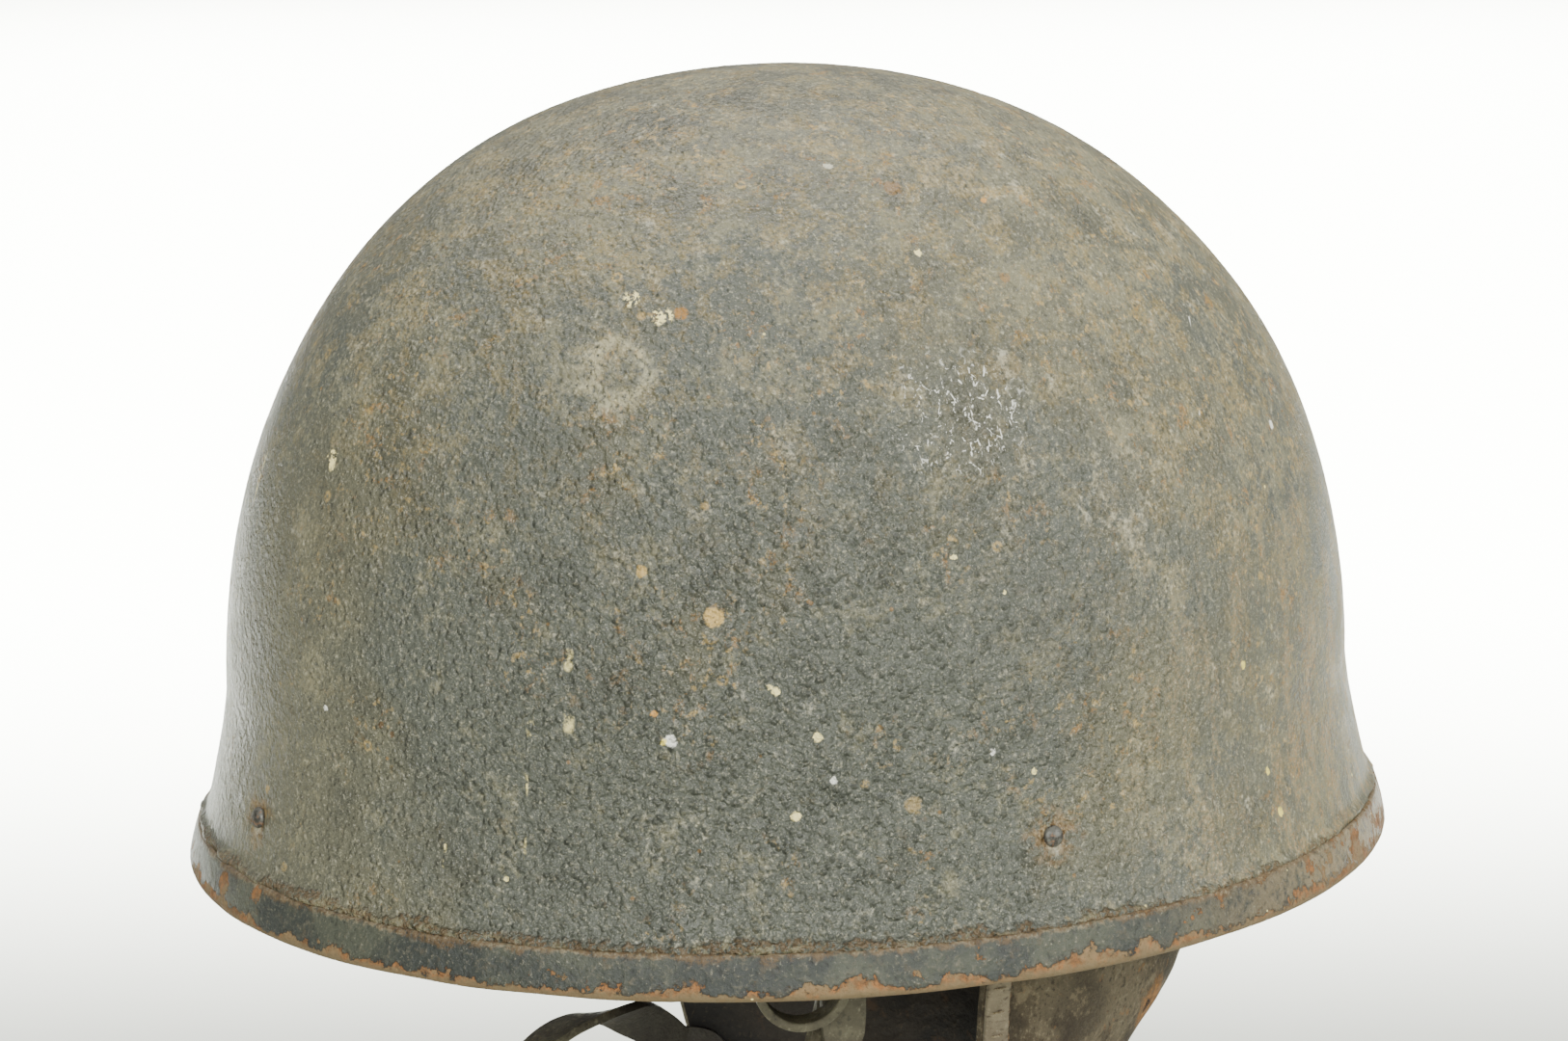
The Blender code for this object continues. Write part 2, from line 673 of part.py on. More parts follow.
def make_keeper(collection):
    # A loop hanging from the head band's lower edge, its width square to the band.
    seat, outward, around = facet_frame(
        HEAD_HALF_WIDTH, HEAD_HALF_LENGTH, BAND_BOTTOM, BAND_FACETS, KEEPER_FACET
    )
    up = Vector((0.0, 0.0, 1.0))
    middle = seat + outward * (SEAT_GAP + KEEPER_WIDTH / 2)
    mid_radius = KEEPER_RADIUS - KEEPER_THICKNESS / 2
    centre = middle - up * (KEEPER_DROP - KEEPER_RADIUS)
    bottom = half_turn(centre, -around, -up, mid_radius)
    path = [
        middle - around * mid_radius - up * SEAT_GAP,
        *bottom,
        middle + around * mid_radius - up * SEAT_GAP,
    ]
    faces = [outward] * len(path)
    widths = [KEEPER_WIDTH] * len(path)
    return ribbon_piece(
        "strap_keeper", path, faces, widths, KEEPER_THICKNESS, STRAP_LEATHER, collection
    )


def build():
    clear_scene()
    helmet = make_collection("despatch_rider_helmet")
    cutters = make_collection("cutters")
    shell = make_shell(helmet)
    make_rim_strip(helmet)
    head_band = make_head_band(helmet)
    sides = (
        ("left", 0.0, SIDE_RIVET_HEIGHT),
        ("back", 0.25, SIDE_RIVET_HEIGHT),
        ("right", 0.5, SIDE_RIVET_HEIGHT),
        ("front", 0.75, FRONT_RIVET_HEIGHT),
    )
    for side, facet_share, rivet_height in sides:
        make_clip(side, facet_share, rivet_height, shell, head_band, helmet, cutters)
    make_curtain(helmet)
    make_hem("left", 1, helmet)
    make_hem("right", -1, helmet)
    make_buckle_tab(helmet)
    make_buckle(helmet)
    make_chin_strap(helmet)
    make_keeper(helmet)


build()
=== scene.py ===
import math

import bpy
from mathutils import Matrix, Quaternion, Vector, noise


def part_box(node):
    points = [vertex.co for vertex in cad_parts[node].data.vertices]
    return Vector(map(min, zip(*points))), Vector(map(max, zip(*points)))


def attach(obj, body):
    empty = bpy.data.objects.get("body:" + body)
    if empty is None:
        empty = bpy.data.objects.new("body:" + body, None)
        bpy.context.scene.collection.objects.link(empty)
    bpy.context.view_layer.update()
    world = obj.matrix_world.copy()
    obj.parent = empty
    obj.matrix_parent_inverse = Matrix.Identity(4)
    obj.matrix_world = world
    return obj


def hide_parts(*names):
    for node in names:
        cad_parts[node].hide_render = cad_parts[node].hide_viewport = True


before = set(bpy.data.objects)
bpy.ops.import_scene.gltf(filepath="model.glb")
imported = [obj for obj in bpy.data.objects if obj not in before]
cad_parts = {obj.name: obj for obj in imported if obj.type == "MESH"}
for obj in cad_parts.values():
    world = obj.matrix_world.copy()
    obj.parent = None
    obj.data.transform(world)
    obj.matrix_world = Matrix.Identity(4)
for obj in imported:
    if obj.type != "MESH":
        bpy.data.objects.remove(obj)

scene = bpy.context.scene
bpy.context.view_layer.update()  # the solids' own box, before anything replaces them
mm = 0.001  # lengths are in metres and angles in degrees, unless a note says otherwise
upward = Vector((0.0, 0.0, 1.0))
print("frame loaded:", len(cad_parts), "nodes")


# Shader maths

class Field:
    # A socket that numbers and other sockets can be added to, multiplied with and so on.
    def __init__(self, paint, socket):
        self.paint = paint
        self.socket = socket

    def maths(self, operation, first, second):
        return self.paint.node("ShaderNodeMath", {"operation": operation}, {0: first, 1: second})

    def __add__(self, other):
        return self.maths("ADD", self, other)

    def __sub__(self, other):
        return self.maths("SUBTRACT", self, other)

    def __mul__(self, other):
        return self.maths("MULTIPLY", self, other)

    def __rsub__(self, other):
        return self.maths("SUBTRACT", other, self)

    __radd__ = __add__
    __rmul__ = __mul__

    def bigger(self, other):
        return self.maths("MAXIMUM", self, other)

    def smaller(self, other):
        return self.maths("MINIMUM", self, other)

    def rise(self, low, high):  # 0 below low, 1 above high, smooth between
        ends = {"Value": self, "From Min": low, "From Max": high}
        if low > high:
            ends = {"Value": self, "From Min": high, "From Max": low, "To Min": 1.0, "To Max": 0.0}
        return self.paint.node("ShaderNodeMapRange", {"interpolation_type": "SMOOTHSTEP"}, ends)


class Paint:
    # Writes the nodes of one material.
    def __init__(self, name, gloss=0.5):
        self.material = bpy.data.materials.new(name)
        self.material.use_nodes = True
        self.tree = self.material.node_tree
        self.shader = self.tree.nodes["Principled BSDF"]
        self.shader.inputs["Specular IOR Level"].default_value = gloss
        place = self.node("ShaderNodeTexCoord", output="Object")
        self.place = self.vector("SCALE", place, scale=1 / mm)  # millimetres

    def feed(self, made, inputs):
        # Links each socket that is given a Field and sets the others.
        for name, value in inputs.items():
            if isinstance(value, Field):
                self.tree.links.new(value.socket, made.inputs[name])
            else:
                made.inputs[name].default_value = value

    def node(self, kind, settings=None, inputs=None, output=0):
        made = self.tree.nodes.new(kind)
        for name, value in (settings or {}).items():
            setattr(made, name, value)
        self.feed(made, inputs or {})
        return Field(self, made.outputs[output])

    def vector(self, operation, first, second=(0, 0, 0), scale=1.0, output=0):
        inputs = {0: first, "Scale": scale} if operation == "SCALE" else {0: first, 1: second}
        return self.node("ShaderNodeVectorMath", {"operation": operation}, inputs, output)

    def axis(self, name):
        return self.node("ShaderNodeSeparateXYZ", inputs={0: self.place}, output=name)

    def grain(self, wave, detail=3.0, rough=0.55, twist=0.0, stretch=None, output=0):
        # Noise whose features are about wave millimetres across.
        place = self.vector("MULTIPLY", self.place, stretch) if stretch else self.place
        inputs = {"Vector": place, "Scale": 1 / wave, "Detail": detail, "Roughness": rough,
                  "Distortion": twist}
        return self.node("ShaderNodeTexNoise", inputs=inputs, output=output)

    def cells(self, wave, feature="F1"):
        return self.node("ShaderNodeTexVoronoi", {"feature": feature},
                         {"Vector": self.place, "Scale": 1 / wave}, "Distance")

    def dots(self, wave, share, reach):
        # Small round dots in a share of the cells; reach is their radius as a share of a cell.
        cell = self.cells(wave)
        pick = Field(self, cell.socket.node.outputs["Color"])
        pick = self.node("ShaderNodeSeparateColor", inputs={0: pick}, output="Red")
        return cell.rise(reach, reach * 0.55) * pick.rise(share, share * 0.8)

    def ragged(self, wave, reach):
        # The place moved about by up to about reach millimetres, for marks with ragged edges.
        shift = self.vector("SUBTRACT", self.grain(wave, 3.0, 0.65, output="Color"), (0.5, 0.5, 0.5))
        return self.vector("ADD", self.place, self.vector("SCALE", shift, scale=reach * 4))

    def near(self, centre, radius, place=None, soft=0.35, squash=(1, 1, 1)):
        # A patch round a point in millimetres.
        gap = self.vector("SUBTRACT", place or self.place, centre)
        if squash != (1, 1, 1):
            gap = self.vector("MULTIPLY", gap, squash)
        return self.vector("LENGTH", gap, output="Value").rise(radius, radius * (1 - soft))

    def streak(self, start, end, radius):
        # A thin line from one point in millimetres to another.
        run = Vector(end) - Vector(start)
        gap = self.vector("SUBTRACT", self.place, start)
        share = self.vector("DOT_PRODUCT", gap, tuple(run / run.length_squared), output="Value")
        share = share.bigger(0.0).smaller(1.0)
        along = self.vector("SCALE", tuple(run), scale=share)
        gap = self.vector("SUBTRACT", gap, along)
        return self.vector("LENGTH", gap, output="Value").rise(radius, radius * 0.4)

    def blend(self, mask, under, over):
        inputs = {0: mask, 6: under, 7: over}
        return self.node("ShaderNodeMix", {"data_type": "RGBA", "clamp_factor": True}, inputs, 2)

    def finish(self, colour, rough, height=None, depth=0.001, metal=0.0):
        # Joins the looks to the shader; depth is how far the relief stands, in metres.
        looks = {"Base Color": colour, "Roughness": rough, "Metallic": metal}
        if height is not None:
            looks["Normal"] = self.node("ShaderNodeBump", inputs={"Height": height, "Distance": depth})
        self.feed(self.shader, looks)
        return self.material


def tone(red, green, blue):
    # A screen colour, 0 to 255, as the shader's linear one.
    def linear(value):
        value = value / 255
        return value / 12.92 if value <= 0.04045 else ((value + 0.055) / 1.055) ** 2.4
    return (linear(red), linear(green), linear(blue), 1.0)


# Camera, floor and light

camera = {
    "place": (1.3129, -0.7081, 0.4420),
    "aim": (0.0008, -0.0016, 0.0739),
    "roll": -0.565,
    "lens": 155.1,
    "sensorWidth": 36.0,
}
studio = {
    "floorHeight": -0.175,
    "floorHalf": 9.0,
    "floorTone": (206, 209, 198),
    "floorRough": 0.9,
    "skyTone": (1.0, 0.99, 0.95),
    "skyStrength": 0.34,
    "lamps": (  # each shines from its place towards its aim, or straight down
        {"name": "overhead", "place": (-0.40, 0.15, 1.25), "aim": (0.0, 0.0, 0.0),
         "size": (1.5, 1.5), "power": 25.0},
        {"name": "leftPanel", "place": (1.50, -0.92, 0.80), "aim": (0.0, 0.0, 0.1),
         "size": (0.8, 0.8), "power": 41.0},
        {"name": "rightPanel", "place": (1.32, 1.40, 0.85), "aim": (0.0, 0.0, 0.1),
         "size": (0.9, 0.9), "power": 33.0},
        {"name": "backdropLamp", "place": (-1.28, 0.69, 0.425), "turn": 61.66,
         "size": (1.3, 1.7), "power": 165.0, "spread": 66},
    ),
}


def aimed(place, aim):
    # The turn that points a camera or a lamp at its aim.
    return (Vector(place) - Vector(aim)).to_track_quat("Z", "Y")


def standAt(name, data, place, turn):
    made = bpy.data.objects.new(name, data)
    scene.collection.objects.link(made)
    made.location = place
    made.rotation_mode = "QUATERNION"
    made.rotation_quaternion = turn
    return made


def makeCamera():
    data = bpy.data.cameras.new("camera")
    data.lens = camera["lens"]
    data.sensor_width = camera["sensorWidth"]
    turn = aimed(camera["place"], camera["aim"]) @ Quaternion(upward, math.radians(camera["roll"]))
    scene.camera = standAt("camera", data, camera["place"], turn)


def makeStudio():
    half = studio["floorHalf"]
    corners = [(-half, -half), (half, -half), (half, half), (-half, half)]
    mesh = bpy.data.meshes.new("floor")
    mesh.from_pydata([(x, y, studio["floorHeight"]) for x, y in corners], [], [(0, 1, 2, 3)])
    floor = bpy.data.objects.new("floor", mesh)
    scene.collection.objects.link(floor)
    mesh.materials.append(Paint("floorPaper").finish(tone(*studio["floorTone"]), studio["floorRough"]))
    world = bpy.data.worlds.new("studio")
    world.use_nodes = True
    sky = world.node_tree.nodes["Background"]
    sky.inputs["Color"].default_value = (*studio["skyTone"], 1.0)
    sky.inputs["Strength"].default_value = studio["skyStrength"]
    scene.world = world
    for lamp in studio["lamps"]:
        light = bpy.data.lights.new(lamp["name"], "AREA")
        light.shape = "RECTANGLE"
        light.size, light.size_y = lamp["size"]
        light.energy = lamp["power"]
        light.spread = math.radians(lamp.get("spread", 180))
        turn = (aimed(lamp["place"], lamp["aim"]) if "aim" in lamp
                else Quaternion(upward, math.radians(lamp["turn"])))
        standAt(lamp["name"], light, lamp["place"], turn)


makeCamera()
makeStudio()
print("camera, floor and lights made")


# Mesh helpers

rounding = {"segments": 3, "sharpAngle": 50.0}


def addPiece(name, mesh, materials, nodes=()):
    piece = bpy.data.objects.new(name, mesh)
    scene.collection.objects.link(piece)
    for material in materials:
        mesh.materials.append(material)
    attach(piece, "root")
    if nodes:
        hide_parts(*nodes)
    return piece


def newMesh(name, points, faces):
    mesh = bpy.data.meshes.new(name)
    mesh.from_pydata(points, [], faces)
    mesh.shade_smooth()
    return mesh


def gridMesh(name, rows, wrap=False, close=False, ends=()):
    # Rows of points joined by faces. close joins the last row to the first, and ends are
    # the two points that close a wrapped grid beyond its first row and its last.
    points = [point for row in rows for point in row] + list(ends)
    width = len(rows[0])
    faces = []
    for row in range(len(rows) if close else len(rows) - 1):
        below = (row + 1) % len(rows)
        for column in range(width if wrap else width - 1):
            after = (column + 1) % width
            faces.append((row * width + column, below * width + column,
                          below * width + after, row * width + after))
    if ends:
        last = (len(rows) - 1) * width
        for column in range(width):
            after = (column + 1) % width
            faces.append((len(points) - 2, column, after))
            faces.append((len(points) - 1, last + after, last + column))
    return newMesh(name, points, faces)


def rowNormals(rows):
    # Outward directions of a closed grid whose rows run round an oval.
    normals = []
    width = len(rows[0])
    for index, row in enumerate(rows):
        above = rows[max(index - 1, 0)]
        below = rows[min(index + 1, len(rows) - 1)]
        line = []
        for column in range(width):
            around = row[(column + 1) % width] - row[column - 1]
            down = below[column] - above[column]
            line.append(down.cross(around).normalized())
        normals.append(line)
    return normals


def thicken(piece, thickness, edge):
    # Gives a sheet its thickness and rounds its edges.
    wall = piece.modifiers.new("wall", "SOLIDIFY")
    wall.thickness = thickness
    wall.offset = 0.0
    soften = piece.modifiers.new("edges", "BEVEL")
    soften.width = edge
    soften.segments = rounding["segments"]
    soften.limit_method = "ANGLE"
    soften.angle_limit = math.radians(rounding["sharpAngle"])


def fuzz(point, wave, seed=0.0):
    # Smooth noise from -1 to 1 with features about wave metres across.
    return noise.noise(Vector(point) / wave + Vector((seed, -seed, seed * 2)))


def smooth(low, high, value):
    share = min(max((value - low) / (high - low), 0.0), 1.0)
    return share * share * (3 - 2 * share)


def alongTable(table, key, value, column):
    # What a column holds at a value of the key, between the rows on either side of it.
    for before, after in zip(table, table[1:]):
        if value <= after[key]:
            share = max((value - before[key]) / (after[key] - before[key]), 0.0)
            return before[column] + (after[column] - before[column]) * share
    return table[-1][column]


def smoothRoute(points, count):
    # Points shared out along a smooth curve through the given ones.
    ends = [points[0] * 2 - points[1], *points, points[-1] * 2 - points[-2]]
    route = []
    for step in range(count):
        place = step / (count - 1) * (len(points) - 1)
        span = min(int(place), len(points) - 2)
        t = place - span
        p0, p1, p2, p3 = ends[span:span + 4]
        route.append(0.5 * ((2 * p1) + (p2 - p0) * t + (2 * p0 - 5 * p1 + 4 * p2 - p3) * t * t
                            + (3 * p1 - p0 - 3 * p2 + p3) * t * t * t))
    return route


# Steel shell

shell = {
    "rimHalfWidth": 0.126,
    "rimHalfLength": 0.140,
    "crown": 0.1772,
    "crownForward": 0.004,
    "waist": 0.041,
    "flare": 0.0081,
    "wall": 0.0011,
    "stripWall": 0.0011,
    "gap": 0.0003,
    "risePower": 2.10,
    "spreadPower": 2.20,
    "flarePower": 1.3,
    "columns": 480,
    "domeRows": 90,
    "skirtSteps": ((0.041, 18), (0.0145, 16), (0.0090, 5)),  # height where it starts, rows
    "innerRows": 26,
    "crust": 0.0017,
    "crustHeight": 0.0107,
    "crustHalf": 0.0014,
    "crustWaves": (0.0085, 0.0030),
    "dent": 0.00035,
    "dentWave": 0.045,
    "crinkle": 0.00007,
    "crinkleWave": 0.0042,
    "calmHeight": 0.010,  # the dents fade out over this much above the edge
}
rivets = (
    {"side": "left", "turn": 90.0, "height": 0.029},
    {"side": "back", "turn": 180.0, "height": 0.029},
    {"side": "right", "turn": 270.0, "height": 0.029},
    {"side": "front", "turn": 0.0, "height": 0.023},
)
rivet = {
    "headRadius": 0.0024,
    "headHeight": 0.0015,
    "headRings": 7,
    "sides": 28,
    "headLift": 0.00009,
    "underHead": ((0.96, 0.00012), (0.50, 0.00020)),  # share of the head's radius, depth
    "tail": 0.0007,
    "tailStep": 0.0001,
    "tailShare": 0.9,
    "knock": 0.05,
    "shellGrip": 0.0022,
    "bandGrip": 0.0046,
    "bandSeat": 0.0021,  # from the middle of the band's rivet to the seat of its head
    "slopeStep": 0.002,
    "dishRadius": 0.0042,
    "dishDepth": 0.0005,
    "sunk": 0.8,  # how far into the dish the head sits
}

foldRadius = (shell["wall"] + 2 * shell["gap"] + shell["stripWall"]) / 2
edgeHeight = foldRadius + shell["stripWall"] / 2


def skirtSpread(height):
    share = (shell["waist"] - height) / (shell["waist"] - edgeHeight)
    return shell["flare"] * max(share, 0.0) ** shell["flarePower"]


def shellPoint(turn, height=None, rise=None, out=0.0):
    # turn is degrees from the front towards the wearer's left; rise is 0 at the waist, 1 at the crown.
    angle = math.radians(turn - 90)
    inset = shell["stripWall"] + shell["gap"] + shell["flare"]
    halfWidth, halfLength = shell["rimHalfWidth"] - inset, shell["rimHalfLength"] - inset
    if rise is None and height > shell["waist"]:
        rise = (height - shell["waist"]) / (shell["crown"] - shell["waist"])
    if rise is None:
        spread = skirtSpread(height) + out
        return Vector(((halfWidth + spread) * math.cos(angle),
                       (halfLength + spread) * math.sin(angle), height))
    share = max(1 - rise ** shell["risePower"], 0.0) ** (1 / shell["spreadPower"])
    height = shell["waist"] + (shell["crown"] - shell["waist"]) * rise
    forward = -shell["crownForward"] * rise * rise
    flat = 1 - share  # the wall's direction turns from outwards to upwards
    return Vector((
        (halfWidth * share + out * share) * math.cos(angle),
        (halfLength * share + out * share) * math.sin(angle) + forward,
        height + out * flat,
    ))


def markPlace(turn, height):
    # A point on the paint, in millimetres, for the marks.
    return tuple(shellPoint(turn, height * mm) / mm)


def shellRelief(point):
    # Small dents, the crinkled paint and the dished spots round the rivets.
    relief = fuzz(point, shell["dentWave"], 3.0) * shell["dent"]
    relief += fuzz(point, shell["crinkleWave"], 7.0) * shell["crinkle"]
    for spot in rivets:
        gap = (point - shellPoint(spot["turn"], spot["height"])).length
        relief -= rivet["dishDepth"] * math.exp(-((gap / rivet["dishRadius"]) ** 4))
    relief *= smooth(edgeHeight, edgeHeight + shell["calmHeight"], point.z)
    broad, small = shell["crustWaves"]
    crust = 0.55 + fuzz(point, broad, 11.0) * 0.7 + fuzz(point, small, 13.0) * 0.4
    crust *= math.exp(-(((point.z - shell["crustHeight"]) / shell["crustHalf"]) ** 2))
    return relief + shell["crust"] * max(crust, 0.0)


def makeShell(paintOutside, paintInside):
    columns = shell["columns"]
    turns = [360 * column / columns for column in range(columns)]
    rises = [math.cos(math.pi / 2 * row / shell["domeRows"]) ** (2 / shell["risePower"])
             for row in range(1, shell["domeRows"])]
    ends = [start for start, _ in shell["skirtSteps"][1:]] + [edgeHeight]
    heights = [start + (end - start) * row / count
               for (start, count), end in zip(shell["skirtSteps"], ends) for row in range(count)]
    outside = [[shellPoint(turn, rise=rise) for turn in turns] for rise in rises]
    outside += [[shellPoint(turn, height) for turn in turns] for height in [*heights, edgeHeight]]
    normals = rowNormals(outside)
    rows = [[point + normal * shellRelief(point) for point, normal in zip(*pair)]
            for pair in zip(outside, normals)]
    outerFaces = (len(rows) - 1) * columns
    for row in range(len(outside) - 1, 0, -(len(outside) // shell["innerRows"])):
        rows.append([point - normal * shell["wall"]
                     for point, normal in zip(outside[row], normals[row])])
    gridFaces = (len(rows) - 1) * columns
    crown = shellPoint(0, rise=1.0)
    mesh = gridMesh("shellSkin", rows, wrap=True, ends=(crown, crown - upward * shell["wall"]))
    addPiece("shellSkin", mesh, [paintOutside, paintInside], ["shell"])
    for face in mesh.polygons:
        if face.index < gridFaces:
            face.material_index = int(face.index >= outerFaces)
        else:  # at the crown, outer and inner faces take turns
            face.material_index = (face.index - gridFaces) % 2


paintTones = {
    "olive": (98, 97, 79),
    "slate": (86, 89, 79),
    "dark": (56, 55, 48),
    "khaki": (140, 135, 104),
    "pale": (200, 196, 170),
    "rust": (150, 112, 58),
    "orange": (200, 150, 76),
    "brown": (92, 72, 44),
    "cream": (255, 240, 164),
    "white": (242, 242, 228),
    "yellow": (240, 222, 112),
    "tan": (196, 166, 100),
}
colour = {name: tone(*screenTone) for name, screenTone in paintTones.items()}
marks = (  # where on the shell: degrees from the front, height and radius in millimetres
    {"turn": 43.9, "height": 142.8, "radius": 2.2, "colour": "cream", "broken": True},
    {"turn": 48.8, "height": 139.9, "radius": 2.6, "colour": "cream", "broken": True},
    {"turn": 5.8, "height": 104.7, "radius": 2.2, "colour": "cream", "broken": True},
    {"turn": 6.3, "height": 103.0, "radius": 1.2, "colour": "cream"},
    {"turn": 57.0, "height": 81.3, "radius": 2.5, "colour": "tan"},
    {"turn": 63.0, "height": 65.6, "radius": 1.1, "colour": "cream"},
    {"turn": 62.4, "height": 66.6, "radius": 0.8, "colour": "cream"},
    {"turn": 66.9, "height": 55.5, "radius": 1.2, "colour": "cream"},
    {"turn": 68.4, "height": 45.9, "radius": 0.9, "colour": "white"},
    {"turn": 64.7, "height": 38.5, "radius": 1.3, "colour": "cream"},
    {"turn": 52.7, "height": 55.1, "radius": 1.6, "colour": "white"},
    {"turn": 52.1, "height": 54.8, "radius": 0.9, "colour": "yellow"},
    {"turn": 51.2, "height": 61.0, "radius": 0.9, "colour": "orange"},
    {"turn": 49.5, "height": 90.4, "radius": 1.4, "colour": "tan"},
    {"turn": 86.3, "height": 149.7, "radius": 1.0, "colour": "cream"},
    {"turn": 76.6, "height": 165.6, "radius": 1.2, "colour": "pale"},
    {"turn": 97.9, "height": 143.3, "radius": 1.6, "colour": "rust", "strength": 0.6},
    {"turn": 81.4, "height": 91.0, "radius": 0.8, "colour": "cream"},
    {"turn": 86.5, "height": 82.7, "radius": 0.6, "colour": "cream"},
    {"turn": 88.3, "height": 43.6, "radius": 0.8, "colour": "cream"},
    {"turn": 84.0, "height": 49.1, "radius": 0.8, "colour": "white"},
    {"turn": 132.8, "height": 102.1, "radius": 1.2, "colour": "white"},
    {"turn": 115.8, "height": 56.0, "radius": 1.1, "colour": "yellow"},
    {"turn": 118.8, "height": 30.6, "radius": 0.9, "colour": "yellow"},
    {"turn": 119.8, "height": 21.0, "radius": 1.2, "colour": "yellow"},
    {"turn": 36.4, "height": 23.4, "radius": 0.8, "colour": "cream"},
    {"turn": 12.0, "height": 52.8, "radius": 0.9, "colour": "white"},
    {"turn": 20.5, "height": 52.3, "radius": 0.9, "colour": "brown"},
    {"turn": 22.1, "height": 50.8, "radius": 0.7, "colour": "brown"},
    {"turn": 51.4, "height": 140.5, "radius": 1.9, "colour": "rust"},
    {"turn": 87.6, "height": 161.1, "radius": 2.6, "colour": "rust", "strength": 0.5},
    {"turn": 103.6, "height": 157.0, "radius": 1.0, "colour": "orange"},
    {"turn": 76.0, "height": 39.5, "radius": 2.2, "colour": "tan", "strength": 0.4},
    {"turn": 205.0, "height": 88.0, "radius": 1.5, "colour": "cream"},
    {"turn": 236.0, "height": 60.0, "radius": 1.1, "colour": "cream"},
    {"turn": 268.0, "height": 112.0, "radius": 2.2, "colour": "tan"},
    {"turn": 292.0, "height": 74.0, "radius": 0.9, "colour": "white"},
    {"turn": 322.0, "height": 128.0, "radius": 1.6, "colour": "rust"},
)
drips = (  # pale runs down the paint, from one height to another
    {"turn": 42.4, "top": 73.0, "foot": 70.0, "radius": 1.3, "strength": 0.7},
    {"turn": 42.6, "top": 60.5, "foot": 57.0, "radius": 1.5, "strength": 0.7},
    {"turn": 38.6, "top": 57.0, "foot": 55.0, "radius": 1.3, "strength": 0.7},
    {"turn": 38.2, "top": 47.0, "foot": 28.2, "radius": 0.45, "strength": 0.9},
    {"turn": 29.3, "top": 28.8, "foot": 24.4, "radius": 0.50, "strength": 0.9},
    {"turn": 347.0, "top": 99.0, "foot": 88.0, "radius": 0.60, "strength": 0.8},
    {"turn": 214.0, "top": 66.0, "foot": 52.0, "radius": 0.80, "strength": 0.5},
)


